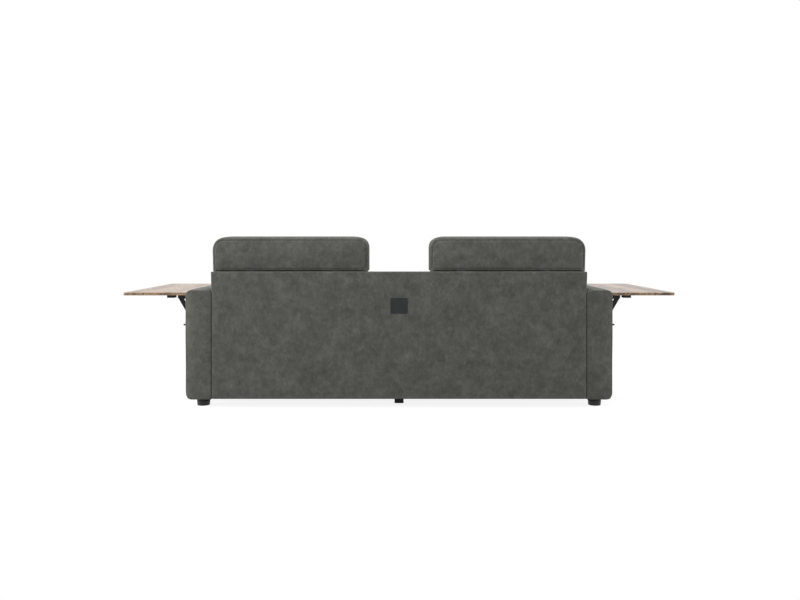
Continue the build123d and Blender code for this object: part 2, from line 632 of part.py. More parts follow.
with BuildPart() as table_wall_plates:
    for bracket_y in BRACKET_YS:
        plate_y = (bracket_y - GUIDE_OUT, bracket_y + GUIDE_OUT)
        block((ARM_OUT, ARM_OUT + STEEL), plate_y, (GUIDE_BOTTOM, GUIDE_TOP))
        for flange_y in (bracket_y - GUIDE_OUT, bracket_y + GUIDE_IN):
            with BuildSketch(Plane.XZ.offset(-flange_y)):
                with Locations((ARM_OUT, GUIDE_BOTTOM)):
                    guide_height = GUIDE_TOP - GUIDE_BOTTOM
                    Rectangle(GUIDE_DEPTH, guide_height, align=(Align.MIN, Align.MIN))
                with Locations((ARM_OUT, PIVOT_Z)):
                    Rectangle(PIVOT_OUT, 2 * LUG_RADIUS, align=(Align.MIN, Align.CENTER))
                with Locations((PIVOT_X, PIVOT_Z)):
                    Circle(LUG_RADIUS)
                with BuildLine():
                    catch_top = PIVOT_Z - STRUT_DROP - CATCH_DROP
                    catch_x = ARM_OUT + GUIDE_DEPTH
                    Polyline(
                        (catch_x, catch_top),
                        (catch_x + CATCH_HEIGHT, catch_top - CATCH_HEIGHT / 2),
                        (catch_x + CATCH_HEIGHT, catch_top - CATCH_LENGTH / 2),
                        (catch_x, catch_top - CATCH_LENGTH),
                        close=True,
                    )
                make_face()
            extrude(amount=-STEEL)
        with BuildSketch(Plane.XZ.offset(-bracket_y)):
            with Locations((PIVOT_X, PIVOT_Z)):
                Circle(PIVOT_PIN_RADIUS)
        extrude(amount=TABLE_ARM_OUT + PIN_HEAD, both=True)
        with BuildSketch(Plane.YZ.offset(ARM_OUT)):
            with Locations((bracket_y, GUIDE_TOP - SCREW_FROM_END)):
                Circle(SCREW_HOLE_RADIUS)
            with Locations((bracket_y, GUIDE_BOTTOM + SCREW_FROM_END)):
                Circle(SCREW_HOLE_RADIUS)
        extrude(amount=STEEL, mode=Mode.SUBTRACT)
save_pair(table_wall_plates.part, "table_wall_plates")

with BuildPart() as table_arms:
    for bracket_y in BRACKET_YS:
        arm_y = (bracket_y - TABLE_ARM_OUT, bracket_y + TABLE_ARM_OUT)
        arm_x = (PIVOT_X - LUG_RADIUS, ARM_OUT + TABLE_ARM_LENGTH)
        block(arm_x, arm_y, (TABLE_UNDER - STEEL, TABLE_UNDER))
        for flange_y in (bracket_y - TABLE_ARM_OUT, bracket_y + TABLE_ARM_IN):
            with BuildSketch(Plane.XZ.offset(-flange_y)):
                with Locations((PIVOT_X, PIVOT_Z), (PIVOT_X + STRUT_PIVOT, PIVOT_Z)):
                    Circle(LUG_RADIUS)
                with Locations((PIVOT_X - LUG_RADIUS, TABLE_UNDER)):
                    lug_span = STRUT_PIVOT + 2 * LUG_RADIUS
                    Rectangle(lug_span, PIVOT_DROP, align=(Align.MIN, Align.MAX))
                with Locations((PIVOT_X, PIVOT_Z)):
                    Rectangle(STRUT_PIVOT, 2 * LUG_RADIUS, align=(Align.MIN, Align.CENTER))
                with Locations((ARM_OUT + TABLE_ARM_LENGTH, TABLE_UNDER)):
                    Rectangle(TIP_LENGTH, TIP_DEPTH, align=(Align.MAX, Align.MAX))
                with Locations((PIVOT_X, PIVOT_Z)):
                    Circle(PIVOT_PIN_RADIUS + PIN_FIT, mode=Mode.SUBTRACT)
            extrude(amount=-STEEL)
        with BuildSketch(Plane.XZ.offset(-bracket_y)):
            with Locations((PIVOT_X + STRUT_PIVOT, PIVOT_Z)):
                Circle(PIVOT_PIN_RADIUS)
        extrude(amount=TABLE_ARM_OUT, both=True)
        screw_xs = (PIVOT_X + STRUT_PIVOT / 2, arm_x[1] - SCREW_FROM_END)
        with BuildSketch(Plane.XY.offset(TABLE_UNDER)):
            with Locations(*[(screw_x, bracket_y) for screw_x in screw_xs]):
                Circle(SCREW_HOLE_RADIUS)
        extrude(amount=-STEEL, mode=Mode.SUBTRACT)
save_pair(table_arms.part, "table_arms")

with BuildPart() as table_struts:
    strut_head = (PIVOT_X + STRUT_PIVOT, PIVOT_Z)
    strut_foot = (PIVOT_X, PIVOT_Z - STRUT_DROP)
    web_x = STEEL * STRUT_DROP / STRUT_LENGTH
    web_z = STEEL * STRUT_PIVOT / STRUT_LENGTH
    pocket_head = (strut_head[0] - web_x, strut_head[1] + web_z)
    pocket_foot = (strut_foot[0] - web_x, strut_foot[1] + web_z)
    for bracket_y in BRACKET_YS:
        with BuildSketch(Plane.XZ.offset(-bracket_y)):
            with BuildLine():
                Line(strut_head, strut_foot)
            trace(line_width=STRUT_WIDTH)
            with Locations(strut_head, strut_foot):
                Circle(STRUT_WIDTH / 2)
            with Locations(strut_head):
                Circle(PIVOT_PIN_RADIUS + PIN_FIT, mode=Mode.SUBTRACT)
        extrude(amount=STRUT_THICKNESS / 2, both=True)
        with BuildSketch(Plane.XZ.offset(-bracket_y)):
            with BuildLine():
                Line(pocket_head, pocket_foot)
            trace(line_width=STRUT_WIDTH)
            with Locations(pocket_head, pocket_foot):
                Circle(STRUT_WIDTH / 2)
        extrude(amount=STRUT_THICKNESS / 2 - STEEL, both=True, mode=Mode.SUBTRACT)
        with BuildSketch(Plane.XZ.offset(-bracket_y)):
            with Locations(strut_foot):
                Circle(PIVOT_PIN_RADIUS)
        extrude(amount=GUIDE_OUT, both=True)
save_pair(table_struts.part, "table_struts")

with BuildPart() as table_bumpers:
    for bumper_y in BUMPER_YS:
        with BuildSketch(Plane((ARM_OUT, bumper_y, BUMPER_HEIGHT), (0, 1, 0), (1, 0, 0))):
            Circle(BUMPER_BASE_RADIUS)
        extrude(amount=BUMPER_BASE)
        with BuildSketch(Plane((ARM_OUT, bumper_y, BUMPER_HEIGHT), (0, 1, 0), (1, 0, 0))):
            Circle(BUMPER_RADIUS)
        extrude(amount=PIVOT_OUT + PIVOT_DROP - BUMPER_FIT)
save_pair(table_bumpers.part, "table_bumpers")
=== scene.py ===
"""Dresses the two-seater sofa: velour, oak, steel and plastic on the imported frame, in a plain studio."""

import json
import logging
import math
from collections.abc import Callable, Iterable
from dataclasses import dataclass
from enum import Enum

import bmesh
import bpy
from mathutils import Matrix, Vector
from mathutils.bvhtree import BVHTree
from mathutils.kdtree import KDTree


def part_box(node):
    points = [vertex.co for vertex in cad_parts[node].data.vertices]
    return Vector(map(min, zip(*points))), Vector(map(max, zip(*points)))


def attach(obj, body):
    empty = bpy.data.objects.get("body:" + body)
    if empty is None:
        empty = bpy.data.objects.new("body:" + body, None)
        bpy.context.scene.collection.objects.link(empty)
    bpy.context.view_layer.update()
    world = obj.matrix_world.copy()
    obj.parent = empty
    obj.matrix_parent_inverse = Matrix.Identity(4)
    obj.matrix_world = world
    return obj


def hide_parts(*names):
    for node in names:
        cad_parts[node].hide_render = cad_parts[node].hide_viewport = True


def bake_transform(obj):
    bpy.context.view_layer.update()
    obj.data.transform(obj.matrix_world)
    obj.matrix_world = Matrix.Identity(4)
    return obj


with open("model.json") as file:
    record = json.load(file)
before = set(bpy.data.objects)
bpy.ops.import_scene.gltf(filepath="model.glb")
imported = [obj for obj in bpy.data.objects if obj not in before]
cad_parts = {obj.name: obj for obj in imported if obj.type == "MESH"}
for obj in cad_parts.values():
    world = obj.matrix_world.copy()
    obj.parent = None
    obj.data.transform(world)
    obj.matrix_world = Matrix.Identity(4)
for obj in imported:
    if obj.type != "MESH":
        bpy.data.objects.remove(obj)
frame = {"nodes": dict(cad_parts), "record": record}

LOG = logging.getLogger("sofa")
Pair = tuple[float, float]
Triple = tuple[float, float, float]
Four = tuple[float, float, float, float]
Box = tuple[Triple, Triple]
Colour = Four
Line = list[Vector]
Mesh = bpy.types.Mesh
Object = bpy.types.Object
Material = bpy.types.Material
Socket = bpy.types.NodeSocket
Finishes = dict[str, Material]
Test = Callable[[Vector], bool]
X, Y, Z = 0, 1, 2
WHITE: Colour = (1.0, 1.0, 1.0, 1.0)
# How near a point counts as on a plane, in metres.
TOUCH = 1e-5
# How deep a cushion's foot and rear are held by what they lie against, in metres.
BED = 0.004


class Side(Enum):
    """The sitter's left, at +X, and right, at -X."""

    LEFT = 1
    RIGHT = -1

    @property
    def tag(self) -> str:
        """Gives the ending that the side's pieces carry."""
        return self.name.lower()


def tone(red: float, green: float, blue: float) -> Colour:
    """Turns a colour as a screen shows it, from 0 to 255, into linear light."""
    parts = [part / 255 for part in (red, green, blue)]
    return (*(p / 12.92 if p <= 0.04045 else ((p + 0.055) / 1.055) ** 2.4 for p in parts), 1.0)


def grey(level: float, warmth: float = 0.0) -> Colour:
    """Gives a screen's grey in linear light; warmth is what its red has over its blue."""
    return tone(level + warmth / 2, level, level - warmth / 2)


def shaded(colour: Colour, by: float) -> Colour:
    """Gives a colour made darker or lighter by a factor."""
    return (*(by * part for part in colour[:3]), 1.0)


def held(value: float) -> float:
    """Keeps a share between 0 and 1."""
    return min(max(value, 0.0), 1.0)


def eased(value: float) -> float:
    """Keeps a share between 0 and 1 and eases it in and out."""
    part = held(value)
    return part * part * (3 - 2 * part)


def along(way: Vector, axis: int) -> bool:
    """Tells whether a unit direction runs along an axis."""
    return abs(way[axis]) > 0.9


class Nodes:
    """A node tree in the making."""

    def __init__(self, tree: bpy.types.NodeTree) -> None:
        """Takes the tree over."""
        self.tree = tree

    def feed(self, socket: Socket, value: object) -> None:
        """Links an input to an output, or sets it to a value."""
        if isinstance(value, Socket):
            self.tree.links.new(value, socket)
        else:
            socket.default_value = value

    def fill(self, node: bpy.types.Node, **inputs: object) -> None:
        """Feeds a node's inputs by name, with underscores for spaces."""
        for name, value in inputs.items():
            self.feed(node.inputs[name.replace("_", " ")], value)

    def add(self, kind: str, settings: dict[str, object] | None = None, *first: object,
            **inputs: object) -> bpy.types.Node:
        """Adds a node.

        Args:
            kind: The node's type, without the words that all types start with.
            settings: Its properties by name.
            *first: What its first inputs get, in order.
            **inputs: What other inputs get, by name with underscores for spaces.

        Returns:
            The node.
        """
        node = self.tree.nodes.new(f"ShaderNode{kind}")
        for name, value in (settings or {}).items():
            setattr(node, name, value)
        for socket, value in zip(node.inputs, first):
            self.feed(socket, value)
        self.fill(node, **inputs)
        return node

    def calc(self, how: str, a: Socket, b: Socket | float = 0.0) -> Socket:
        """Works two values into one."""
        return self.add("Math", {"operation": how}, a, b).outputs[0]

    def plus(self, a: Socket, b: Socket) -> Socket:
        """Adds two values."""
        return self.calc("ADD", a, b)

    def times(self, a: Socket, b: Socket | float) -> Socket:
        """Multiplies two values."""
        return self.calc("MULTIPLY", a, b)

    def looks(self) -> Socket:
        """Gives 1 for what the camera sees itself, in a gloss or through glass, and else 0."""
        rays = self.add("LightPath").outputs
        return self.calc("MAXIMUM", self.calc("MAXIMUM", rays["Is Camera Ray"], rays["Is Glossy Ray"]),
                         rays["Is Transmission Ray"])


class Recipe(Nodes):
    """The nodes of one finish, around its main shader."""

    def __init__(self, name: str) -> None:
        """Starts a material.

        Args:
            name: Its name.
        """
        self.material = bpy.data.materials.new(name)
        self.material.use_nodes = True
        super().__init__(self.material.node_tree)
        self.shader = self.tree.nodes["Principled BSDF"]
        self.place = self.add("TexCoord").outputs["Object"]

    def turned(self, scale: Triple, turn: Triple = (0, 0, 0), where: Socket | None = None) -> Socket:
        """Stretches and turns coordinates.

        Args:
            scale: The stretch along each axis.
            turn: The turn about each axis, in degrees.
            where: The coordinates; the piece's own if none are given.

        Returns:
            The coordinates' socket.
        """
        angles = [math.radians(angle) for angle in turn]
        start = self.place if where is None else where
        return self.add("Mapping", Scale=scale, Rotation=angles, Vector=start).outputs["Vector"]

    def noise(self, where: Socket, scale: float, detail: float = 3.0, rough: float = 0.5,
              bend: float = 0.0) -> Socket:
        """Adds a cloudy pattern from 0 to 1, of so many waves to the metre."""
        return self.add("TexNoise", Scale=scale, Detail=detail, Roughness=rough, Distortion=bend,
                        Vector=where).outputs["Fac"]

    def ramp(self, value: Socket, *stops: tuple[float, Colour]) -> Socket:
        """Turns a value into a colour.

        Args:
            value: The value from 0 to 1.
            *stops: Places from 0 to 1 and the colours there.

        Returns:
            The colour's socket.
        """
        node = self.add("ValToRGB", Fac=value)
        bar = node.color_ramp.elements
        while len(bar) < len(stops):
            bar.new(1.0)
        for stop, (place, colour) in zip(bar, stops):
            stop.position = place
            stop.color = colour
        return node.outputs["Color"]

    def mix(self, a: Socket, b: Socket, share: float, way: str = "MULTIPLY") -> Socket:
        """Mixes two colours.

        Args:
            a: The first colour.
            b: The second colour.
            share: The second colour's share.
            way: How they mix.

        Returns:
            The mixed colour's socket.
        """
        node = self.add("Mix", {"data_type": "RGBA", "blend_type": way}, share)
        for socket, value in zip(node.inputs[6:8], (a, b)):
            self.feed(socket, value)
        return node.outputs[2]

    def bump(self, height: Socket, depth: float, strength: float, **under: Socket) -> Socket:
        """Raises a relief of so many metres; a coarser one under it is given as Normal."""
        return self.add("Bump", Strength=strength, Distance=depth, Height=height, **under).outputs["Normal"]

    def dress(self, colour: Socket, relief: Socket, **inputs: object) -> Material:
        """Joins colour, relief and the other inputs to the shader and gives the material."""
        self.fill(self.shader, Base_Color=colour, Normal=relief, **inputs)
        return self.material


@dataclass(frozen=True)
class Velour:
    """Short-pile grey velour with brushed, cloudy shading."""

    name: str = "velour"
    dark: Colour = tone(74, 75, 70)
    middle: Colour = tone(93, 94, 89)
    light: Colour = tone(112, 113, 108)
    sheen: Colour = tone(222, 225, 214)
    clouds: float = 13.0
    nap: float = 560.0
    threads: float = 150.0

    def make(self) -> Material:
        """Makes the finish.

        Returns:
            The material.
        """
        r = Recipe(self.name)
        clouds = r.noise(r.turned((1, 1, 1.15), (12, 28, 0)), self.clouds, 7, 0.66, 0.35)
        strokes = r.noise(r.turned((44, 44, 30), (0, 42, 20)), 1.0, 5, 0.65, 0.6)
        pile = r.noise(r.place, self.nap, 2, 0.6)
        fibre = r.noise(r.turned((1, 1, 0.5), (0, 10, 0)), self.threads, 4, 0.65)
        shade = r.plus(r.times(clouds, 0.56), r.times(strokes, 0.44))
        shade = r.plus(shade, r.times(r.calc("SUBTRACT", fibre, 0.5), 0.30))
        colour = r.ramp(shade, (0.30, self.dark), (0.5, self.middle), (0.70, self.light))
        colour = r.mix(colour, r.ramp(pile, (0.3, shaded(WHITE, 0.78)), (0.7, shaded(WHITE, 1.2))), 0.6)
        relief = r.bump(pile, 0.0005, 0.5, Normal=r.bump(fibre, 0.0008, 0.3))
        return r.dress(colour, relief, Roughness=0.92, Specular_IOR_Level=0.16, Sheen_Weight=0.17,
                       Sheen_Roughness=0.45, Sheen_Tint=self.sheen)


@dataclass(frozen=True)
class Thread:
    """Spun sewing thread."""

    name: str = "thread"
    shade: Colour = tone(80, 81, 76)
    twist: float = 900.0

    def make(self) -> Material:
        """Makes the finish.

        Returns:
            The material.
        """
        r = Recipe(self.name)
        twist = r.noise(r.place, self.twist, 2)
        colour = r.ramp(twist, (0.3, shaded(self.shade, 0.7)), (0.7, self.shade))
        return r.dress(colour, r.bump(twist, 0.0002, 0.4), Roughness=0.75, Sheen_Weight=0.2)


@dataclass(frozen=True)
class OakBoard:
    """Knotty oak board with lengthwise staves."""

    name: str = "oak_board"
    pale: Colour = tone(168, 137, 106)
    brown: Colour = tone(127, 98, 72)
    deep: Colour = tone(74, 53, 38)
    stave: float = 0.0812
    slide: float = 3.0
    rings: Pair = (42, 0.035)

    def make(self) -> Material:
        """Makes the finish.

        Returns:
            The material.
        """
        r = Recipe(self.name)
        across = r.times(r.add("SeparateXYZ", Vector=r.place).outputs["X"], 1.0 / self.stave)
        own = r.add("TexWhiteNoise", {"noise_dimensions": "1D"}, W=r.calc("FLOOR", across)).outputs["Value"]
        slide = r.add("CombineXYZ", Y=r.times(own, self.slide)).outputs[0]
        stave = r.add("VectorMath", {"operation": "ADD"}, r.place, slide).outputs[0]
        grain = r.noise(r.turned((230, 3.4, 230), where=stave), 1.0, 5, 0.62, 0.3)
        figure = r.noise(r.turned((17, 1.3, 17), where=stave), 1.0, 4, 0.6, 0.9)
        pore = r.noise(r.turned((900, 34, 900), where=stave), 1.0, 2)
        spots = r.turned((9, 3.6, 9), where=stave)
        warp = r.add("TexNoise", Scale=2.4, Detail=2, Vector=spots).outputs["Color"]
        bent = r.mix(spots, warp, 0.22, "MIX")
        near = r.add("TexVoronoi", {"feature": "F1"}, Scale=1.0, Vector=bent).outputs["Distance"]
        count, strength = self.rings
        rings = r.times(r.calc("SINE", r.times(near, count)), strength)
        flow = r.plus(r.times(grain, 0.5), r.times(figure, 0.42))
        flow = r.plus(flow, r.plus(rings, r.times(own, 0.11)))
        colour = r.ramp(flow, (0.40, self.deep), (0.485, self.brown), (0.57, self.pale))
        knot = r.ramp(near, (0.04, (0.16, 0.13, 0.11, 1)), (0.13, (0.62, 0.55, 0.5, 1)), (0.24, WHITE))
        fine = r.ramp(pore, (0.35, (0.74, 0.72, 0.7, 1)), (0.55, WHITE))
        gap = r.calc("SUBTRACT", r.calc("FRACT", across), 0.5)
        joint = r.ramp(r.calc("ABSOLUTE", gap), (0.485, WHITE), (0.497, (0.42, 0.37, 0.33, 1)))
        for shade, share in ((knot, 0.85), (fine, 0.5), (joint, 0.8)):
            colour = r.mix(colour, shade, share)
        relief = r.bump(pore, 0.0002, 0.35, Normal=r.bump(grain, 0.0005, 0.12))
        return r.dress(colour, relief, Roughness=0.26, Specular_IOR_Level=0.62)


@dataclass(frozen=True)
class Coating:
    """A fine-grained coat or moulded skin: powder coat, plastic, rubber or zinc."""

    name: str
    shade: Colour
    rough: float = 0.45
    metal: float = 0.0
    grain: float = 900.0
    depth: float = 0.00008
    gloss: float = 0.5
    wear: float = 34.0

    def make(self) -> Material:
        """Makes the finish.

        Returns:
            The material.
        """
        r = Recipe(self.name)
        skin = r.noise(r.place, self.grain, 3, 0.55)
        wear = r.noise(r.place, self.wear, 4, 0.6)
        colour = r.ramp(wear, (0.3, shaded(self.shade, 0.78)), (0.7, shaded(self.shade, 1.22)))
        rough = r.add("MapRange", Value=wear, To_Min=self.rough - 0.07, To_Max=self.rough + 0.07)
        return r.dress(colour, r.bump(skin, self.depth, 0.5), Roughness=rough.outputs[0],
                       Metallic=self.metal, Specular_IOR_Level=self.gloss)


@dataclass(frozen=True)
class Timber:
    """Sawn softwood of the hidden frame."""

    name: str = "frame_timber"
    pale: Colour = tone(214, 182, 138)
    brown: Colour = tone(172, 130, 86)

    def make(self) -> Material:
        """Makes the finish.

        Returns:
            The material.
        """
        r = Recipe(self.name)
        grain = r.noise(r.turned((42, 3, 42)), 1.0, 5, 0.6, 1.2)
        saw = r.noise(r.turned((30, 420, 30)), 1.0, 2)
        colour = r.ramp(grain, (0.35, self.brown), (0.65, self.pale))
        return r.dress(colour, r.bump(saw, 0.0003, 0.3), Roughness=0.72)


@dataclass(frozen=True)
class Woven:
    """Plain woven band or cloth, with warp and weft."""

    name: str
    shade: Colour
    pitch: float = 0.0022

    def make(self) -> Material:
        """Makes the finish.

        Returns:
            The material.
        """
        r = Recipe(self.name)
        turns = math.tau / self.pitch / 20
        waves = [r.add("TexWave", {"bands_direction": way}, Scale=turns, Vector=r.place) for way in "XY"]
        cloth = r.times(*(wave.outputs["Fac"] for wave in waves))
        colour = r.ramp(cloth, (0.0, shaded(self.shade, 0.55)), (0.6, self.shade))
        return r.dress(colour, r.bump(cloth, 0.0003, 0.4), Roughness=0.9)


def wardrobe() -> Finishes:
    """Makes every finish of the sofa once.

    Returns:
        The materials by slot; thread and bracket_screw are extra ones.
    """
    looks = {
        "upholstery": Velour(),
        "thread": Thread(),
        "table_wood": OakBoard(),
        "frame_timber": Timber(),
    }
    for look in (
        Coating("bracket_steel", grey(17), 0.42, 0.0, 1500, gloss=0.3),
        Coating("bracket_screw", grey(60), 0.35, 0.9, 700),
        Coating("zinc_steel", grey(128, -4), 0.42, 1.0, 260),
        Coating("foot_plastic", grey(41), 0.46, 0.0, 1100, gloss=0.35),
        Coating("foot_block", grey(13), 0.55, 0.0, 800, gloss=0.2),
        Coating("bumper_rubber", grey(66), 0.7, 0.0, 1300),
        Coating("plate", grey(46, -2), 0.55, 0.0, 1400, 0.00012, 0.25),
        Woven("webbing", grey(44, 3), 0.0024),
        Woven("dust_cloth", grey(38), 0.0016),
    ):
        looks[look.name] = look
    return {slot: look.make() for slot, look in looks.items()}


class Shape:
    """A mesh in the making, in metres in the sofa's frame."""

    def __init__(self, mesh: Mesh | None = None) -> None:
        """Starts empty, or from a mesh."""
        self.bm = bmesh.new()
        if mesh is not None:
            self.bm.from_mesh(mesh)

    @classmethod
    def block(cls, low: Vector, high: Vector) -> "Shape":
        """Gives a block.

        Args:
            low: Its lowest corner.
            high: Its highest corner.

        Returns:
            The block.
        """
        shape = cls()
        place = Matrix.LocRotScale((low + high) / 2, None, high - low)
        bmesh.ops.create_cube(shape.bm, size=1.0, matrix=place)
        return shape

    @classmethod
    def sheet(cls, low: Vector, high: Vector, axis: int, cells: tuple[int, int] = (1, 1)) -> "Shape":
        """Gives a flat sheet across an axis.

        Args:
            low: Its lowest corner.
            high: Its highest corner; along the axis both are the same.
            axis: The axis that it lies across.
            cells: Its numbers of faces.

        Returns:
            The sheet.
        """
        shape = cls()
        turn = Matrix() if axis == Z else Matrix.Rotation(math.pi / 2, 4, "Y" if axis == X else "X")
        bmesh.ops.create_grid(shape.bm, x_segments=cells[0], y_segments=cells[1], size=0.5, matrix=turn)
        shape.stretch([part or 1.0 for part in high - low])
        shape.move((low + high) / 2)
        return shape

    @classmethod
    def copy(cls, node: str) -> "Shape":
        """Copies a node's mesh and merges its points.

        Args:
            node: The node.

        Returns:
            The copy.
        """
        shape = cls(frame["nodes"][node].data)
        bmesh.ops.remove_doubles(shape.bm, verts=shape.bm.verts[:], dist=TOUCH)
        return shape

    def move(self, way: Iterable[float]) -> None:
        """Shifts the shape."""
        bmesh.ops.translate(self.bm, vec=way, verts=self.bm.verts[:])

    def stretch(self, by: Iterable[float]) -> None:
        """Stretches the shape along each axis."""
        bmesh.ops.scale(self.bm, vec=by, verts=self.bm.verts[:])

    def round(self, radius: float, segments: int, test: Callable[[Vector, Vector], bool]) -> None:
        """Rounds the edges that pass a test.

        Args:
            radius: The rounding's radius.
            segments: Its number of faces.
            test: Takes an edge's middle and its unit direction.
        """
        edges = []
        for edge in self.bm.edges:
            a, b = (vert.co for vert in edge.verts)
            if test((a + b) / 2, (b - a).normalized()):
                edges.append(edge)
        bmesh.ops.bevel(self.bm, geom=edges, offset=radius, offset_type="OFFSET", segments=segments,
                        profile=0.5, affect="EDGES", material=-1, clamp_overlap=True)

    def dent(self, face: bmesh.types.BMFace, width: float, depth: float = 0.0) -> None:
        """Draws a face in by a width and sinks it by a depth."""
        bmesh.ops.inset_region(self.bm, faces=[face], thickness=width, depth=-depth, use_even_offset=True)

    def draw_in(self, low: Vector, high: Vector, near: Triple, far: Triple) -> None:
        """Makes the shape smaller within its box.

        Args:
            low: The box's lowest corner.
            high: The box's highest corner.
            near: How far the low sides move in.
            far: How far the high sides move in.
        """
        first, last = low + Vector(near), high - Vector(far)
        self.move(-low)
        self.stretch([(b - a) / (d - c) for a, b, c, d in zip(first, last, low, high)])
        self.move(first)

    def cut(self, axis: int, place: float) -> None:
        """Cuts the faces along a plane that crosses an axis at a place."""
        way = Vector([float(number == axis) for number in (X, Y, Z)])
        bmesh.ops.bisect_plane(self.bm, geom=self.bm.verts[:] + self.bm.edges[:] + self.bm.faces[:],
                               dist=TOUCH, plane_co=way * place, plane_no=way)

    def slice(self, steps: Triple) -> None:
        """Cuts the faces into a grid.

        Args:
            steps: How far the cuts across each axis are apart; none across an axis where it is 0.
        """
        for axis, step in enumerate(steps):
            places = [vert.co[axis] for vert in self.bm.verts]
            start, length = min(places), max(places) - min(places)
            count = round(length / step) if step else 0
            for number in range(1, count):
                self.cut(axis, start + length * number / count)

    def take(self, other: "Shape") -> None:
        """Takes in another shape.

        Args:
            other: The other shape, which is finished then.
        """
        mesh = other.mesh()
        self.bm.from_mesh(mesh)
        bpy.data.meshes.remove(mesh)

    def poured(self) -> Mesh:
        """Ends the making.

        Returns:
            The mesh as it is.
        """
        mesh = bpy.data.meshes.new("shape")
        self.bm.to_mesh(mesh)
        self.bm.free()
        return mesh

    def mesh(self) -> Mesh:
        """Merges doubles, turns the faces outwards and ends the making.

        Returns:
            The mesh.
        """
        bmesh.ops.remove_doubles(self.bm, verts=self.bm.verts[:], dist=TOUCH / 10)
        bmesh.ops.recalc_face_normals(self.bm, faces=self.bm.faces[:])
        return self.poured()


def placed(name: str, data: bpy.types.ID) -> Object:
    """Puts an object into the scene.

    Args:
        name: Its name.
        data: Its mesh, curve, lamp or camera.

    Returns:
        The object.
    """
    obj = bpy.data.objects.new(name, data)
    bpy.context.scene.collection.objects.link(obj)
    return obj


def dressed(name: str, mesh: Mesh, finish: Material, smooth: bool = True) -> Object:
    """Puts a mesh with its finish into the scene.

    Args:
        name: The object's name.
        mesh: Its mesh.
        finish: Its material.
        smooth: Whether its faces shade as one surface.

    Returns:
        The object.
    """
    mesh.name = name
    mesh.materials.clear()
    mesh.materials.append(finish)
    mesh.polygons.foreach_set("use_smooth", [smooth] * len(mesh.polygons))
    return placed(name, mesh)


def shown(name: str, mesh: Mesh, finish: Material, body: str,
          stands_for: Iterable[str] = (), smooth: bool = True, divide: int = 0) -> Object:
    """Puts a mesh on the sofa as a piece.

    Args:
        name: The piece's name.
        mesh: Its mesh.
        finish: Its material.
        body: The body that it moves with.
        stands_for: The nodes that it replaces.
        smooth: Whether its faces shade as one surface.
        divide: How often its faces are divided smoothly.

    Returns:
        The piece.
    """
    piece = dressed(name, mesh, finish, smooth)
    if divide:
        smoothing = piece.modifiers.new("smoothing", "SUBSURF")
        smoothing.levels = smoothing.render_levels = divide
    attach(piece, body)
    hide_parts(*stands_for)
    LOG.info("%s: %d faces, moves with %s", name, len(mesh.polygons), body)
    return piece


def mirrored(mesh: Mesh) -> Mesh:
    """Mirrors a mesh to the other side of the sofa.

    Args:
        mesh: The left-hand mesh.

    Returns:
        The right-hand mesh.
    """
    shape = Shape(mesh)
    shape.stretch((-1, 1, 1))
    bmesh.ops.reverse_faces(shape.bm, faces=shape.bm.faces[:])
    return shape.poured()


def settled(obj: Object) -> Mesh:
    """Gives an object's mesh with its modifiers worked in."""
    bpy.context.view_layer.update()
    return bpy.data.meshes.new_from_object(obj.evaluated_get(bpy.context.evaluated_depsgraph_get()))


def distance(points: Line) -> Callable[[Vector], float]:
    """Makes a measure of how far places are from the nearest of some points.

    Args:
        points: The points.

    Returns:
        The measure.
    """
    tree = KDTree(len(points))
    for number, point in enumerate(points):
        tree.insert(point, number)
    tree.balance()
    return lambda place: tree.find(place)[2] if points else math.inf


def outline(low: Vector, high: Vector, axis: int, corners: Pair, step: float = 0.006) -> Line:
    """Draws a rounded rectangle across an axis.

    Args:
        low: Its lowest corner.
        high: Its highest corner; along the axis both are the same.
        axis: The axis that it lies across.
        corners: The corner radii at its lower and its upper end.
        step: How far its points are apart at most.

    Returns:
        Its points, in order.
    """
    bm = Shape.sheet(low, high, axis).bm
    end = Y if axis == Z else Z
    middle = (low[end] + high[end]) / 2
    ends = [[vert for vert in bm.verts if (vert.co[end] > middle) is upper] for upper in (False, True)]
    for radius, verts in zip(corners, ends):
        bmesh.ops.bevel(bm, geom=verts, offset=radius, segments=8, profile=0.5, affect="VERTICES",
                        material=-1, offset_type="OFFSET")
    for edge in bm.edges[:]:
        cuts = int(edge.calc_length() / step)
        if cuts:
            bmesh.ops.bisect_edges(bm, edges=[edge], cuts=cuts)
    bm.faces.ensure_lookup_table()
    points = [loop.vert.co.copy() for loop in bm.faces[0].loops]
    bm.free()
    return points


def run(start: Triple, end: Triple, step: float = 0.006) -> Line:
    """Draws a straight line.

    Args:
        start: Its start.
        end: Its end.
        step: How far its points are apart at most.

    Returns:
        Its points, in order.
    """
    first, last = Vector(start), Vector(end)
    count = max(2, int((last - first).length / step))
    return [first.lerp(last, number / count) for number in range(count + 1)]


class Surface:
    """A piece's surface, for laying seams and stitches on."""

    def __init__(self, mesh: Mesh) -> None:
        """Reads the surface.

        Args:
            mesh: The piece's mesh.
        """
        bm = Shape(mesh).bm
        self.tree = BVHTree.FromBMesh(bm)
        bm.free()

    def cling(self, points: Iterable[Vector], sunk: float = 0.0) -> Line:
        """Moves points to the nearest place on the surface, and in from there."""
        hits = [self.tree.find_nearest(point) for point in points]
        return [hit[0] - hit[1] * sunk for hit in hits]

    def follow(self, line: Line, sunk: float, rounds: int = 30) -> Line:
        """Lays a closed seam on the surface, sunk in, and evens out its course in so many rounds."""
        line = self.even(self.cling(line), rounds)
        return self.even(self.cling(line, sunk), rounds // 8)

    @staticmethod
    def even(line: Line, rounds: int) -> Line:
        """Evens out a closed line by moving each point towards its neighbours."""
        for _ in range(rounds):
            line = [(line[number - 1] + point * 2 + line[(number + 1) % len(line)]) / 4
                    for number, point in enumerate(line)]
        return line

    def out(self, point: Vector) -> Vector:
        """Gives the outward direction at the nearest place."""
        return self.tree.find_nearest(point)[1]


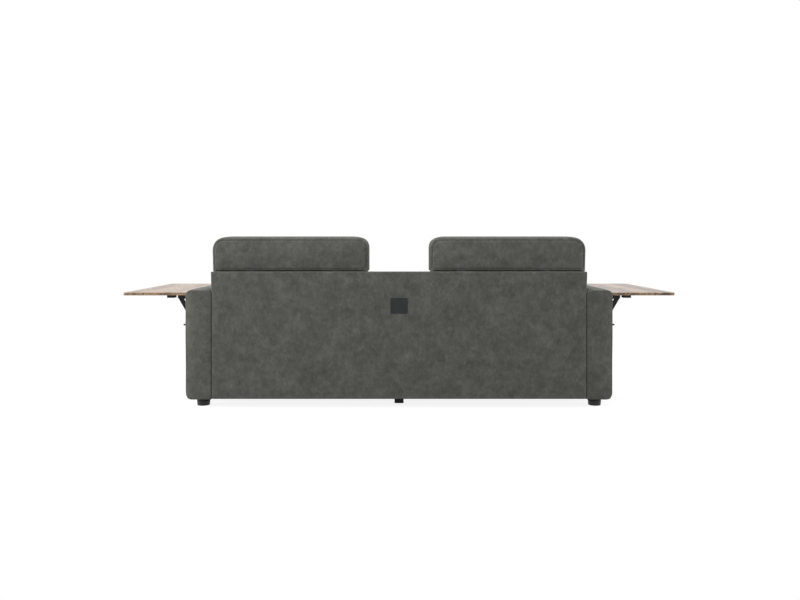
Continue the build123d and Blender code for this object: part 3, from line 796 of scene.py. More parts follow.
@dataclass(frozen=True)
class Filling:
    """Foam and wadding that swells a sewn cover."""

    voxel: float = 0.0
    pressure: float = 4.0
    cap: float = 0.010
    stiff: float = 30.0
    bend: float = 1.0
    mass: float = 0.3
    quality: int = 5
    frames: int = 20
    soften: int = 2
    grip: float = 0.006
    fill: float = 0.7

    def puff(self, name: str, shape: Shape, seams: list[Line], firm: Test,
             room: tuple[Vector, Vector]) -> Mesh:
        """Fills a closed cover until it swells between its seams.

        Args:
            name: The piece's name.
            shape: The slack cover.
            seams: The seams' lines, near the cover.
            firm: Tells which points are held by what they rest on.
            room: The lowest and highest corner that the cover may reach.

        Returns:
            The swollen mesh.
        """
        obj = placed(name, shape.mesh())
        if self.voxel:
            cells = obj.modifiers.new("cells", "REMESH")
            cells.mode, cells.voxel_size = "VOXEL", self.voxel
        mesh = settled(obj)
        obj.modifiers.clear()
        obj.data = mesh
        rest = [vert.co.copy() for vert in mesh.vertices]
        surface = Surface(mesh)
        far = distance([point for line in seams for point in surface.cling(line)])
        grips = [firm(point) or far(point) < self.grip for point in rest]
        obj.data = self.blown(obj, rest, grips)
        swollen = Shape(obj.data)
        verts = swollen.bm.verts[:]
        for vert, start in zip(verts, rest):
            step = vert.co - start
            if step.length > self.cap:
                vert.co = start + step * (self.cap / step.length)
        free = [vert for vert, grip in zip(verts, grips) if not grip]
        for _ in range(self.soften):
            bmesh.ops.smooth_vert(swollen.bm, verts=free, factor=0.5, use_axis_x=True, use_axis_y=True,
                                  use_axis_z=True)
        for vert in verts:
            vert.co = [min(max(place, low), high) for place, low, high in zip(vert.co, *room)]
        bpy.data.objects.remove(obj)
        return swollen.poured()

    def blown(self, obj: Object, rest: Line, grips: list[bool]) -> Mesh:
        """Blows the cover up as cloth.

        Args:
            obj: The cover.
            rest: Its points.
            grips: Which of them are held.

        Returns:
            Its mesh at the last step.
        """
        scene = bpy.context.scene
        group = obj.vertex_groups.new(name="held")
        group.add([number for number, grip in enumerate(grips) if grip], 1.0, "REPLACE")
        cloth = obj.modifiers.new("filling", "CLOTH")
        cloth.settings.quality, cloth.settings.mass = self.quality, self.mass
        cloth.settings.tension_stiffness = cloth.settings.compression_stiffness = self.stiff
        cloth.settings.shear_stiffness = self.stiff / 2
        cloth.settings.bending_stiffness = self.bend
        cloth.settings.use_pressure = True
        cloth.settings.uniform_pressure_force = self.pressure
        cloth.settings.vertex_group_mass = group.name
        cloth.settings.effector_weights.gravity = 0.0
        cloth.collision_settings.use_collision = False
        cloth.point_cache.frame_start, cloth.point_cache.frame_end = 1, self.frames
        for step in range(1, self.frames + 1):
            scene.frame_set(step)
        mesh = settled(obj)
        obj.modifiers.clear()
        scene.frame_set(1)
        far = sorted((vert.co - start).length * 1000 for vert, start in zip(mesh.vertices, rest))
        LOG.info("%s: %d points swelled by %.1f mm at most, half of them by %.1f mm or more", obj.name,
                 len(rest), far[-1], far[len(far) // 2])
        return mesh


@dataclass(frozen=True)
class Welt:
    """A sewn seam: a thin roll of the cover's own cloth, half sunk along its line."""

    radius: float = 0.0019
    sunk: float = 0.0007

    def roll(self, lines: Iterable[Line], closed: bool = True) -> Mesh:
        """Rolls seams along lines.

        Args:
            lines: The lines' points.
            closed: Whether the lines run back to their starts.

        Returns:
            One mesh of all the seams.
        """
        curve = bpy.data.curves.new("welt", "CURVE")
        curve.dimensions, curve.bevel_depth, curve.bevel_resolution = "3D", self.radius, 2
        curve.use_fill_caps = True
        for line in lines:
            spline = curve.splines.new("POLY")
            spline.points.add(len(line) - 1)
            for point, place in zip(spline.points, line):
                point.co = (*place, 1.0)
            spline.use_cyclic_u = closed
        obj = placed("welt", curve)
        mesh = settled(obj)
        bpy.data.objects.remove(obj)
        bpy.data.curves.remove(curve)
        return mesh


@dataclass(frozen=True)
class Stitching:
    """A row of stitches beside a seam."""

    pitch: float = 0.0085
    length: float = 0.0056
    width: float = 0.0011
    beside: float = 0.006

    def sew(self, surface: Surface, lines: Iterable[Line], closed: bool = True) -> Mesh:
        """Sews rows of stitches.

        Args:
            surface: The cover that they go through.
            lines: The seams that they follow.
            closed: Whether the lines run back to their starts.

        Returns:
            One mesh of all the stitches.
        """
        shape = Shape()
        size = Matrix.Diagonal((self.length / 2, self.width / 2, self.width / 2, 1))
        for line in lines:
            path = line + line[:1] if closed else line
            gone, due = 0.0, self.pitch
            for start, end in zip(path, path[1:]):
                gap, way = (end - start).length, (end - start).normalized()
                while due <= gone + gap and gap > 0:
                    place = start.lerp(end, (due - gone) / gap)
                    aside = surface.out(place).cross(way) * self.beside
                    place = surface.cling([place + aside])[0]
                    out = surface.out(place)
                    turn = Matrix((way, out.cross(way).normalized(), out)).transposed().to_4x4()
                    bmesh.ops.create_icosphere(shape.bm, subdivisions=1, radius=1.0,
                                               matrix=Matrix.Translation(place) @ turn @ size)
                    due += self.pitch
                gone += gap
        return shape.poured()


@dataclass
class Upholstery:
    """What all the covered pieces share: cloth, filling, seams, stitches and room past the node's box."""

    finishes: Finishes
    welt: Welt = Welt()
    stitching: Stitching = Stitching()
    filling: Filling = Filling()
    room: Box = ((0, 0, 0), (0, 0, 0))

    def swell(self, name: str, shape: Shape, seams: list[Line], firm: Test,
              box: tuple[Vector, Vector]) -> Mesh:
        """Fills a cover within its room; the other words are those of Filling.puff, and its node's box."""
        low, high = (corner + Vector(more) for corner, more in zip(box, self.room))
        return self.filling.puff(name, shape, seams, firm, (low, high))

    def trim(self, surface: Surface, lines: list[Line], closed: bool = True) -> tuple[Mesh, Mesh]:
        """Gives the seams and the stitches along lines on a cover."""
        return self.welt.roll(lines, closed), self.stitching.sew(surface, lines, closed)

    def put(self, name: str, node: str, body: str, cover: Mesh, seams: Mesh | None = None,
            stitches: Mesh | None = None) -> None:
        """Puts a padded cover with its trim on the sofa.

        Args:
            name: The piece's name, which the trim's names start with.
            node: The node that it replaces.
            body: The body that it moves with.
            cover: The cover.
            seams: Its seams, if it has any.
            stitches: Its stitches, if it has any.
        """
        piece = shown(name, cover, self.finishes["upholstery"], body, [node], divide=1)
        for end, finish, mesh in (("seams", "upholstery", seams), ("stitches", "thread", stitches)):
            if mesh is not None:
                shown(f"{name}_{end}", mesh, self.finishes[finish], body)

    def pair(self, name: str, node: str, body: str, *parts: Mesh) -> None:
        """Puts a cover with its trim on both sides of the sofa.

        Args:
            name: The pieces' name without the side.
            node: The replaced nodes' name without the side.
            body: The body's name, with {} where the side goes.
            *parts: The left-hand cover, and its seams and stitches if it has them.
        """
        for side in Side:
            own = parts if side is Side.LEFT else [mirrored(part) for part in parts]
            self.put(f"{name}_{side.tag}", f"{node}_{side.tag}", body.format(side.tag), *own)


@dataclass
class Headrest(Upholstery):
    """A padded block that tilts over the back, sewn from two panels and a strip round them.

    Pairs run from the inner end to the outer one, or from front to rear, unless a comment says else.
    """

    filling: Filling = Filling(voxel=0.006, cap=0.012, pressure=14, fill=0.75)
    room: Box = ((-0.003, -0.005, -0.0055), (0.006, 0.004, 0.0005))
    corners: Pair = (0.050, 0.064)
    edge: float = 0.028
    foot: float = 0.0045
    square: float = 0.010
    spread: Pair = (-0.0006, 0.0044)
    slack: Pair = (0.001, 0.006)
    rise: float = 0.0035
    drop: float = 0.0055
    taper: float = 0.004
    # How much of the inner end and of the foot is held.
    hold: Pair = (0.002, 0.003)
    # The hanging ear's width, height and depth, and where its rear starts and over what length.
    ear: Triple = (0.026, 0.014, 0.0038)
    ear_rear: Pair = (0.447, 0.010)
    # The seams' distance from the ends and from the foot, how far their points are apart, and their evening.
    seam: Pair = (0.009, 0.004)
    seam_step: float = 0.0015
    evening: int = 200
    # The crease's depth and half its width.
    crease: Pair = (0.0055, 0.0080)
    # The flap's place, foot and head, its thickness, and where a bend would start and end.
    flap: Triple = (0.3312, 0.6680, 0.6955)
    flap_cells: tuple[int, int] = (60, 8)
    flap_thick: float = 0.0012
    flap_bend: Pair = (0.004, 0.003)

    def slack_cover(self, low: Vector, high: Vector) -> Shape:
        """Cuts the slack left-hand cover, whose outer end runs in towards the foot.

        Args:
            low: Its lowest corner.
            high: Its highest corner.

        Returns:
            The cover.
        """
        shape = Shape.block(low, high)
        middle = (low + high) / 2
        for vert in shape.bm.verts:
            if vert.co.z < middle.z and vert.co.x > middle.x:
                vert.co.x -= self.taper
        for radius, inner in zip(self.corners, (True, False)):
            shape.round(radius, 9, lambda mid, way: along(way, Y) and mid.z > high.z - TOUCH
                        and (mid.x < middle.x) is inner)
        shape.round(self.edge, 7, lambda mid, way: min(abs(mid.y - low.y), abs(mid.y - high.y)) < TOUCH
                    and mid.z > low.z + TOUCH)
        shape.round(self.foot, 3, lambda mid, way: mid.z < low.z + TOUCH)
        return shape

    def square_ends(self, mesh: Mesh, foot: float, first: float, last: float) -> None:
        """Draws the cover's lower corners out square at both ends.

        Args:
            mesh: The left-hand cover.
            foot: The cover's foot.
            first: Its inner end.
            last: Its outer end.
        """
        for vert in mesh.vertices:
            deep = 1.0 - (vert.co.z - foot) / self.square
            for end, way in ((first, 1.0), (last, -1.0)):
                wide = 1.0 - (vert.co.x - end) * way / self.square
                if deep > 0 and wide > 0:
                    grow = math.hypot(deep, wide) / max(deep, wide)
                    vert.co.z = foot + (1.0 - min(deep * grow, 1.0)) * self.square
                    vert.co.x = end + (1.0 - min(wide * grow, 1.0)) * way * self.square

    def hang_ear(self, mesh: Mesh, foot: float, end: float) -> None:
        """Lets the cover's outer lower corner hang down to the back panel.

        Args:
            mesh: The left-hand cover.
            foot: The cover's foot.
            end: The cover's outer end.
        """
        wide, high, deep = self.ear
        start, length = self.ear_rear
        for vert in mesh.vertices:
            near = eased((vert.co.x - end + wide) / (wide * 0.4))
            low = held(1.0 - (vert.co.z - foot) / high)
            vert.co.z -= deep * near * low * held((vert.co.y - start) / length)

    def press_seams(self, mesh: Mesh, lines: list[Line]) -> None:
        """Draws the cover in along its seams.

        Args:
            mesh: The left-hand cover.
            lines: The seams' points on it.
        """
        deep, wide = self.crease
        far = distance([point for line in lines for point in line])
        ways = [vert.normal.copy() for vert in mesh.vertices]
        for vert, way in zip(mesh.vertices, ways):
            vert.co -= way * (deep * eased(1.0 - far(vert.co) / wide))

    def build(self) -> None:
        """Makes both headrests and the cloth over their hinges."""
        low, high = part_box("headrest_left")
        near = low + Vector((-self.spread[0], self.slack[0], -self.drop))
        far = high + Vector((self.spread[1], -self.slack[1], -self.rise))
        inset, above = self.seam
        end, foot = near.x + self.hold[0], near.z + self.hold[1]
        seams = [outline(Vector((near.x + inset, plane, near.z + above)),
                         Vector((far.x - inset, plane, far.z - inset)),
                         Y, (self.foot, self.corners[1] - inset), self.seam_step) for plane in (far.y, near.y)]
        mesh = self.swell("headrest_pad_left", self.slack_cover(near, far), seams,
                          lambda point: point.z < foot or point.x < end, (low, high))
        self.square_ends(mesh, near.z, near.x, far.x - self.taper)
        self.hang_ear(mesh, near.z, far.x - self.taper)
        surface = Surface(mesh)
        lines = [surface.follow(line, 0.0, self.evening) for line in seams]
        stitches = self.stitching.sew(surface, lines)
        welts = self.welt.roll([surface.follow(line, self.crease[0] / 2, self.evening) for line in lines])
        self.press_seams(mesh, lines)
        self.pair("headrest_pad", "headrest", "headrest_{}", mesh, welts, stitches)
        for side in Side:
            self.cloth_flap(side, low.x + self.edge, high.x - self.edge)

    def cloth_flap(self, side: Side, near: float, far: float) -> None:
        """Sews the strip of cloth that closes the slit in front of the hinges.

        Args:
            side: The side it is on.
            near: Where it starts, from the middle of the sofa.
            far: Where it ends.
        """
        front, foot, head = self.flap
        middle, half = side.value * (near + far) / 2, (far - near) / 2
        shape = Shape.sheet(Vector((middle - half, front, foot)), Vector((middle + half, front, head)), Y,
                            self.flap_cells)
        piece = dressed(f"headrest_flap_{side.tag}", shape.mesh(), self.finishes["upholstery"])
        thick = piece.modifiers.new("cloth", "SOLIDIFY")
        thick.thickness, thick.offset = self.flap_thick, 0.0
        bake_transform(piece)
        LOG.info("%s: bends between sofa and headrest", piece.name)


@dataclass
class Cushion(Upholstery):
    """A cushion in its node's place, held at its foot, and at its rear if it leans."""

    name: str = ""
    node: str = ""
    shrink: Box = ((0, 0, 0), (0, 0, 0))
    leans: bool = True
    paired: bool = True
    # The height of the seam round it, and the seam's corners; 0 where there is none.
    shoulder: Pair = (0.0, 0.0)

    def build(self) -> None:
        """Makes the cushion, and its mirror image if it is one of a pair."""
        end = "_left" if self.paired else ""
        low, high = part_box(self.node + end)
        shape = Shape.copy(self.node + end)
        shape.draw_in(low, high, *self.shrink)
        height, corner = self.shoulder
        seams = []
        if height:
            seams.append(outline(Vector((low.x, low.y, height)), Vector((high.x, high.y, height)), Z,
                                 (corner, corner)))
        foot, rear = low.z + BED, high.y - BED
        mesh = self.swell(self.name + end, shape, seams,
                          lambda point: point.z < foot or self.leans and point.y > rear, (low, high))
        surface = Surface(mesh)
        rolled = [surface.follow(line, self.welt.sunk) for line in seams]
        trim = self.trim(surface, rolled) if rolled else ()
        put = self.pair if self.paired else self.put
        put(self.name, self.node, "sofa", mesh, *trim)


@dataclass
class SeatCushion(Cushion):
    """A deep box cushion with a crowned top."""

    filling: Filling = Filling(voxel=0.0095, cap=0.022, pressure=8, fill=0.7, grip=0.008)
    room: Box = ((0, -0.006, 0), (0, 0, 0.008))
    name: str = "seat_pad"
    node: str = "seat_cushion"
    shrink: Box = ((0.008, 0.008, 0.0), (0.008, 0.0, 0.008))
    leans: bool = False
    shoulder: Pair = (0.416, 0.034)


@dataclass
class BackCushion(Cushion):
    """A leaning back cushion, full in the small of the back."""

    filling: Filling = Filling(voxel=0.008, cap=0.020, pressure=9, fill=0.65, grip=0.008)
    room: Box = ((0, -0.006, 0), (0, 0, 0))
    name: str = "back_pad"
    node: str = "back_cushion"
    shrink: Box = ((0.007, 0.007, 0.0), (0.007, 0.0, 0.0005))


@dataclass
class ConsoleRest(Cushion):
    """The short pad behind the console."""

    filling: Filling = Filling(voxel=0.0065, cap=0.012, pressure=6, fill=0.7)
    room: Box = ((0, -0.004, 0), (0, 0, 0))
    name: str = "console_rest"
    node: str = "console_back_pad"
    shrink: Box = ((0.005, 0.005, 0.0), (0.005, 0.0, 0.005))
    paired: bool = False


@dataclass
class Arm(Upholstery):
    """A narrow arm: padded boards in a tight cover, with the table's brackets screwed to its outer side."""

    welt: Welt = Welt(0.0014, 0.0006)
    filling: Filling = Filling(cap=0.005, pressure=4, fill=0.85, soften=1)
    room: Box = ((0.0004, -0.004, -0.003), (0.0065, 0.002, 0.003))
    top: float = 0.030
    feet: Pair = (0.005, 0.034)
    ends: float = 0.008
    cells: Triple = (0.016, 0.018, 0.018)
    inset: float = 0.005
    # The outer corners' width and depth, and how far along the arm they fade out.
    shoulder: Triple = (0.027, 0.013, 0.10)
    slack: float = 0.001
    spread: float = 0.0050
    hang: float = 0.003
    # Below the first height and inside the first place all is held; outside the second, under fittings.
    hold: Triple = (0.050, 0.942, 1.06)
    # Middle, half width and half height of each fitting on the outer side.
    fittings: tuple[Four, ...] = (
        (-0.302, 0.465, 0.020, 0.098), (0.338, 0.465, 0.020, 0.098), (-0.370, 0.410, 0.014, 0.014),
        (0.406, 0.410, 0.014, 0.014))

    def pressed(self, point: Vector) -> bool:
        """Tells whether a point is at the foot, on the inner side or under a fitting."""
        foot, inner, outer = self.hold
        return point.z < foot or point.x < inner or point.x > outer and any(
            abs(point.y - y) < wide and abs(point.z - z) < high for y, z, wide, high in self.fittings)

    def draw_shoulders(self, shape: Shape, near: Vector, far: Vector) -> None:
        """Draws the outer corners of both ends in to a wide rounding.

        Args:
            shape: The arm's slack cover.
            near: Its lowest corner.
            far: Its highest corner.
        """
        wide, deep, reach = self.shoulder
        middle = (near.y + far.y) / 2
        for vert in shape.bm.verts:
            turn = held((vert.co.x - far.x + wide) / wide)
            end = held(1.0 - (min(vert.co.y - near.y, far.y - vert.co.y)) / reach)
            vert.co.y += math.copysign(deep, middle - vert.co.y) * turn * turn * end

    def build(self) -> None:
        """Makes both arms."""
        low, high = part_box("arm_cover_left")
        near = low + Vector((0, self.slack, -self.hang))
        far = high + Vector((self.spread, -self.slack, -self.slack))
        shape = Shape.block(near, far)
        middle = (low.z + high.z) / 2
        shape.round(self.top, 6, lambda mid, way: along(way, Y) and mid.z > middle)
        for radius, side in zip(self.feet, (near.x, far.x)):
            shape.round(radius, 6, lambda mid, way: along(way, Y) and mid.z < near.z + TOUCH
                        and abs(mid.x - side) < TOUCH)
        shape.round(self.ends, 4, lambda mid, way: min(abs(mid.y - near.y), abs(mid.y - far.y)) < TOUCH)
        shape.slice(self.cells)
        self.draw_shoulders(shape, near, far)
        seams = []
        for plane in (near.y, far.y):
            a, b = near + Vector((self.inset, 0, self.inset)), far - Vector((self.inset, 0, self.inset))
            a.y = b.y = plane
            seams.append(outline(a, b, Y, (self.feet[1], self.top)))
        mesh = self.swell("arm_pad_left", shape, seams, self.pressed, (low, high))
        surface = Surface(mesh)
        rolled = [surface.cling(line, self.welt.sunk) for line in seams]
        self.pair("arm_pad", "arm_cover", "sofa", mesh, *self.trim(surface, rolled))


@dataclass
class BackPanel(Upholstery):
    """The flat rear panel, hemmed at its head and foot."""

    stitching: Stitching = Stitching(pitch=0.0078, beside=0.0)
    filling: Filling = Filling(cap=0.0016, pressure=1.5, fill=0.9, soften=0)
    room: Box = ((-0.0053, -0.0022, -0.0022), (0.004, 0.001, 0))
    edge: float = 0.005
    corner: float = 0.003
    cells: Triple = (0.020, 0.012, 0.020)
    # The hems' distance from head and foot, and from the sides.
    hem: Pair = (0.021, 0.012)
    lining: float = 0.0022
    side_gap: float = 0.0027
    slack: float = 0.0008
    # The sides' step outwards and further lean, the height that they start at, and the step's height.
    flare: Four = (0.0027, 0.0024, 0.560, 0.040)
    flare_wide: float = 0.012
    hang: float = 0.0022
    # How far from the rims the panel is free.
    rim: float = 0.001
    # The plate's height, and half the width and height of what it holds.
    plate: Triple = (0.513, 0.048, 0.044)
    # The piping's place, height and radius, and how far in front and above its front rows run.
    piping: Triple = (0.4600, 0.6830, 0.0024)
    front_row: Pair = (0.0195, 0.0014)
    # The rear row's ends and the front rows' ends, from the headrest's own, and the gap between the latter.
    row_ends: Four = (0.006, 0.030, 0.005, 0.002)
    row_gap: Pair = (0.292, 0.800)

    def open_out(self, shape: Shape, far: Vector) -> None:
        """Lets the panel's sides open out over the arms.

        Args:
            shape: The slack panel.
            far: Its highest corner.
        """
        step, lean, start, high = self.flare
        for vert in shape.bm.verts:
            if abs(vert.co.x) > far.x - self.flare_wide:
                over = max((vert.co.z - start - high) / (far.z - start - high), 0.0)
                vert.co.x += math.copysign(step * eased((vert.co.z - start) / high) + lean * over, vert.co.x)

    def build(self) -> None:
        """Makes the panel, its hems and the piping over it."""
        low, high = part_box("back_cover")
        near = low + Vector((self.side_gap, -self.lining, -self.hang))
        far = high - Vector((self.side_gap, self.slack, self.slack))
        shape = Shape.block(near, far)
        shape.round(self.corner, 2, lambda mid, way: along(way, Y))
        shape.round(self.edge, 4, lambda mid, way: mid.y > far.y - TOUCH)
        shape.round(self.corner, 2, lambda mid, way: mid.y < near.y + TOUCH)
        shape.slice(self.cells)
        self.open_out(shape, far)

        def firm(point: Vector) -> bool:
            """Holds the rims and the place under the plate."""
            middle, half, tall = self.plate
            return (point.y < far.y - self.rim or abs(point.x) > far.x - self.edge - self.rim
                    or not near.z + self.edge < point.z < far.z - self.edge
                    or abs(point.x) < half and abs(point.z - middle) < tall)

        above, aside = self.hem
        hems = [run((near.x + aside, far.y, height), (far.x - aside, far.y, height))
                for height in (near.z + above, far.z - above)]
        mesh = self.swell("back_panel", shape, hems, firm, (low, high))
        rows = self.stitching.sew(Surface(mesh), hems, closed=False)
        self.put("back_panel", "back_cover", "sofa", mesh, None, rows)
        self.pipe()

    def pipe(self) -> None:
        """Lays the piping between the panel and the headrests."""
        depth, height, radius = self.piping
        front, lift = self.front_row
        low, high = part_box("headrest_left")
        first, last, inner, outer = self.row_ends
        cords = []
        for side in Side:
            for start, end, y, z in ((low.x + first, high.x - last, depth, height),
                                     (low.x + inner, self.row_gap[0], depth - front, height + lift),
                                     (self.row_gap[1], high.x - outer, depth - front, height + lift)):
                cords.append(run((side.value * start, y, z), (side.value * end, y, z)))
        shown("back_panel_seams", Welt(radius).roll(cords, closed=False), self.finishes["upholstery"],
              "sofa")


@dataclass
class FrontBorder(Upholstery):
    """The padded strip under the seats."""

    stitching: Stitching = Stitching(pitch=0.0078, beside=0.0)
    filling: Filling = Filling(cap=0.005, pressure=3, fill=0.8, soften=1)
    room: Box = ((0, -0.005, 0), (0, 0, 0))
    edge: float = 0.009
    rear_edge: float = 0.0015
    cells: Triple = (0.020, 0.0, 0.016)
    # The hem's distance from the foot and from the ends.
    hem: Pair = (0.026, 0.012)
    # The deck cloth's reach and thickness, its lap over the border, its rounded edge and its cells.
    deck: Pair = (0.130, 0.0022)
    lap: float = 0.012
    deck_edge: float = 0.001
    deck_cells: Triple = (0.06, 0.03, 0.0)

    def build(self) -> None:
        """Makes the border with a hem along its foot, and the deck cloth behind it."""
        low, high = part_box("front_border")
        shape = Shape.block(low, high)
        shape.round(self.edge, 4, lambda mid, way: mid.y < low.y + TOUCH)
        shape.round(self.rear_edge, 2, lambda mid, way: mid.y > high.y - TOUCH)
        shape.slice(self.cells)
        height, aside = low.z + self.hem[0], self.hem[1]
        hem = [run((low.x + aside, low.y, height), (high.x - aside, low.y, height))]
        mesh = self.swell("front_border_pad", shape, hem, lambda point: point.y > low.y + BED, (low, high))
        rows = self.stitching.sew(Surface(mesh), hem, closed=False)
        self.put("front_border_pad", "front_border", "sofa", mesh, None, rows)
        reach, thick = self.deck
        deck = Shape.block(Vector((low.x, high.y - self.lap, high.z)),
                           Vector((high.x, high.y + reach, high.z + thick)))
        deck.round(self.deck_edge, 2, lambda mid, way: mid.z > high.z + TOUCH)
        deck.slice(self.deck_cells)
        cloth = shown("seat_deck", deck.mesh(), self.finishes["upholstery"], "sofa")


@dataclass
class Console(Upholstery):
    """The fixed middle console: a padded box between the seats."""

    filling: Filling = Filling(cap=0.008, pressure=4, fill=0.8, soften=1)
    room: Box = ((-0.001, -0.004, 0), (0.001, 0, 0.006))
    edge: float = 0.011
    slack: float = 0.003
    cells: Triple = (0.017, 0.017, 0.017)
    # The seam's distance from the edges, as a share of their rounding, and how far it is drawn past the rear.
    inset: float = 0.3
    past: float = 0.02

    def build(self) -> None:
        """Makes the console's cover with a seam round its top."""
        low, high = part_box("console_cover")
        far = high - Vector((0, 0, self.slack))
        shape = Shape.block(low, far)
        shape.round(self.edge, 4, lambda mid, way: along(way, Z) and mid.y < 0)
        shape.round(self.edge, 4, lambda mid, way: mid.z > far.z - TOUCH and mid.y < far.y - TOUCH)
        shape.slice(self.cells)
        inset = self.edge * self.inset
        ring = outline(Vector((low.x + inset, low.y + inset, far.z - inset)),
                       Vector((high.x - inset, high.y + self.past, far.z - inset)), Z, (self.edge, self.edge))
        foot, rear = low.z + BED, high.y - BED
        line = [point for point in ring if point.y < rear]
        first = max(range(len(line)), key=lambda number: (line[number] - line[number - 1]).length)
        line = line[first:] + line[:first]
        mesh = self.swell("console_pad", shape, [line], lambda point: point.z < foot or point.y > rear,
                          (low, high))
        surface = Surface(mesh)
        trim = self.trim(surface, [surface.cling(line, self.welt.sunk)], closed=False)
        self.put("console_pad", "console_cover", "sofa", mesh, *trim)


@dataclass
class Underside:
    """What is out of sight under the cushions: woven bands, and the dust cloth under the frame."""

    finishes: Finishes
    band: float = 0.058
    band_edge: float = 0.0008
    thinner: float = 0.0006
    seat_bands: int = 6
    back_bands: int = 3
    # The dust cloth's cells, its depth under the node's top, its sag, and its holes' places and half width.
    cells: tuple[int, int] = (60, 30)
    under: float = 0.0008
    sag: float = 0.004
    holes: Pair = (-0.3435, 0.3435)
    hole: float = 0.0242

    def bands(self, name: str, node: str, way: int, count: int) -> None:
        """Weaves the bands of a node.

        Args:
            name: The piece's name.
            node: The node that they replace.
            way: The axis that the bands run along.
            count: How many there are.
        """
        low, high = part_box(node)
        across, thin = (Z, Y) if way == X else (X, Z)
        first, last = low[across] + self.band / 2, high[across] - self.band / 2
        shape = Shape()
        for number in range(count):
            near, far = low.copy(), high.copy()
            middle = first + (last - first) * number / (count - 1)
            near[across], far[across] = middle - self.band / 2, middle + self.band / 2
            far[thin] -= self.thinner
            one = Shape.block(near, far)
            one.round(self.band_edge, 2, lambda mid, edge: along(edge, way))
            shape.take(one)
        shown(name, shape.mesh(), self.finishes["webbing"], "sofa", [node], smooth=False)

    def dust_cloth(self) -> None:
        """Stretches the dust cloth under the frame, cut out round the two middle feet."""
        low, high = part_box("dust_cover")
        level = high.z - self.under
        shape = Shape.sheet(Vector((low.x, low.y, level)), Vector((high.x, high.y, level)), Z, self.cells)
        for place in self.holes:
            for axis, middle in ((X, 0.0), (Y, place)):
                for offset in (-self.hole, self.hole):
                    shape.cut(axis, middle + offset)
        middles = [(face, face.calc_center_median()) for face in shape.bm.faces]
        inside = [face for face, middle in middles for place in self.holes
                  if max(abs(middle.x), abs(middle.y - place)) < self.hole]
        bmesh.ops.delete(shape.bm, geom=inside, context="FACES")
        for vert in shape.bm.verts:
            way = (vert.co.x - low.x) / (high.x - low.x) * 2 % 1
            across = (vert.co.y - low.y) / (high.y - low.y)
            vert.co.z -= self.sag * math.sin(math.pi * way) * math.sin(math.pi * across)
        piece = shown("dust_cloth", shape.mesh(), self.finishes["dust_cloth"], "sofa",
                      ["dust_cover"])

    def build(self) -> None:
        """Makes bands and dust cloth."""
        for side in Side:
            self.bands(f"seat_bands_{side.tag}", f"seat_webbing_{side.tag}", Y, self.seat_bands)
        self.bands("back_bands", "back_webbing", X, self.back_bands)
        self.dust_cloth()


@dataclass
class Fittings:
    """Small hard pieces: the bare plate on the back and the brackets' screws."""

    finishes: Finishes
    corner: float = 0.005
    edge: float = 0.0008
    rim: float = 0.003
    # The slope's width and depth inside the plate's rim.
    slope: Pair = (0.0006, 0.0005)
    # A screw head's radii at its foot and its top, its height, how deep it sits, and its socket's rim.
    head: Pair = (0.0024, 0.0041)
    head_high: float = 0.0016
    seat: float = 0.0004
    socket: float = 0.0022
    socket_slope: Pair = (0.0002, 0.0009)
    # Where the brackets are, and their screws: heights on the arm's face, and places under the board.
    brackets: Pair = (-0.302, 0.338)
    wall: float = 1.073
    wall_rows: Pair = (0.385, 0.545)
    board: float = 0.557
    board_rows: Pair = (1.1115, 1.192)

    def plate(self) -> None:
        """Makes the bare plate with a softened, slightly raised rim."""
        low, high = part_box("back_plate")
        shape = Shape.block(low, high)
        shape.round(self.corner, 5, lambda mid, way: along(way, Y))
        shape.round(self.edge, 3, lambda mid, way: mid.y > high.y - TOUCH)
        face = max(shape.bm.faces, key=lambda item: (item.calc_center_median().y, item.calc_area()))
        shape.dent(face, self.rim)
        shape.dent(face, *self.slope)
        shown("bare_plate", shape.mesh(), self.finishes["plate"], "sofa", ["back_plate"], smooth=False)

    def screw(self, shape: Shape, place: Triple, out: Triple) -> None:
        """Sets a flat screw head with a round socket.

        Args:
            shape: The mesh that it goes into.
            place: The middle of the plate's hole at its outer face.
            out: The direction that the head faces.
        """
        one = Shape()
        turn = Vector((0, 0, 1)).rotation_difference(Vector(out)).to_matrix().to_4x4()
        bmesh.ops.create_cone(one.bm, cap_ends=True, segments=20, radius1=self.head[0], radius2=self.head[1],
                              depth=self.head_high)
        one.move((0, 0, -self.seat))
        face = max(one.bm.faces, key=lambda item: item.calc_center_median().z)
        one.dent(face, self.socket)
        one.dent(face, *self.socket_slope)
        bmesh.ops.transform(one.bm, matrix=Matrix.Translation(place) @ turn, verts=one.bm.verts[:])
        shape.take(one)

    def screws(self, side: Side) -> None:
        """Sets the screws of one side's brackets: in the arm, and up into the board.

        Args:
            side: The side.
        """
        wall, board = Shape(), Shape()
        for y in self.brackets:
            for z in self.wall_rows:
                self.screw(wall, (side.value * self.wall, y, z), (side.value, 0, 0))
            for x in self.board_rows:
                self.screw(board, (side.value * x, y, self.board), (0, 0, -1))
        for name, shape, body in (("wall_screws", wall, "sofa"), ("board_screws", board, f"table_{side.tag}")):
            shown(f"{name}_{side.tag}", shape.mesh(), self.finishes["bracket_screw"], body,
                  smooth=False)

    def build(self) -> None:
        """Makes the plate and the screws."""
        self.plate()
        for side in Side:
            self.screws(side)


@dataclass(frozen=True)
class Lamp:
    """A soft square lamp: its place, what it points at, its width and its power in watts."""

    name: str
    place: Triple
    aim: Triple
    size: float
    power: float

    def hang(self) -> None:
        """Hangs the lamp."""
        data = bpy.data.lights.new(self.name, "AREA")
        data.size, data.energy = self.size, self.power
        lamp = placed(self.name, data)
        lamp.location = self.place
        lamp.rotation_euler = (Vector(self.aim) - Vector(self.place)).to_track_quat("-Z", "Y").to_euler()
        lamp.visible_glossy = False


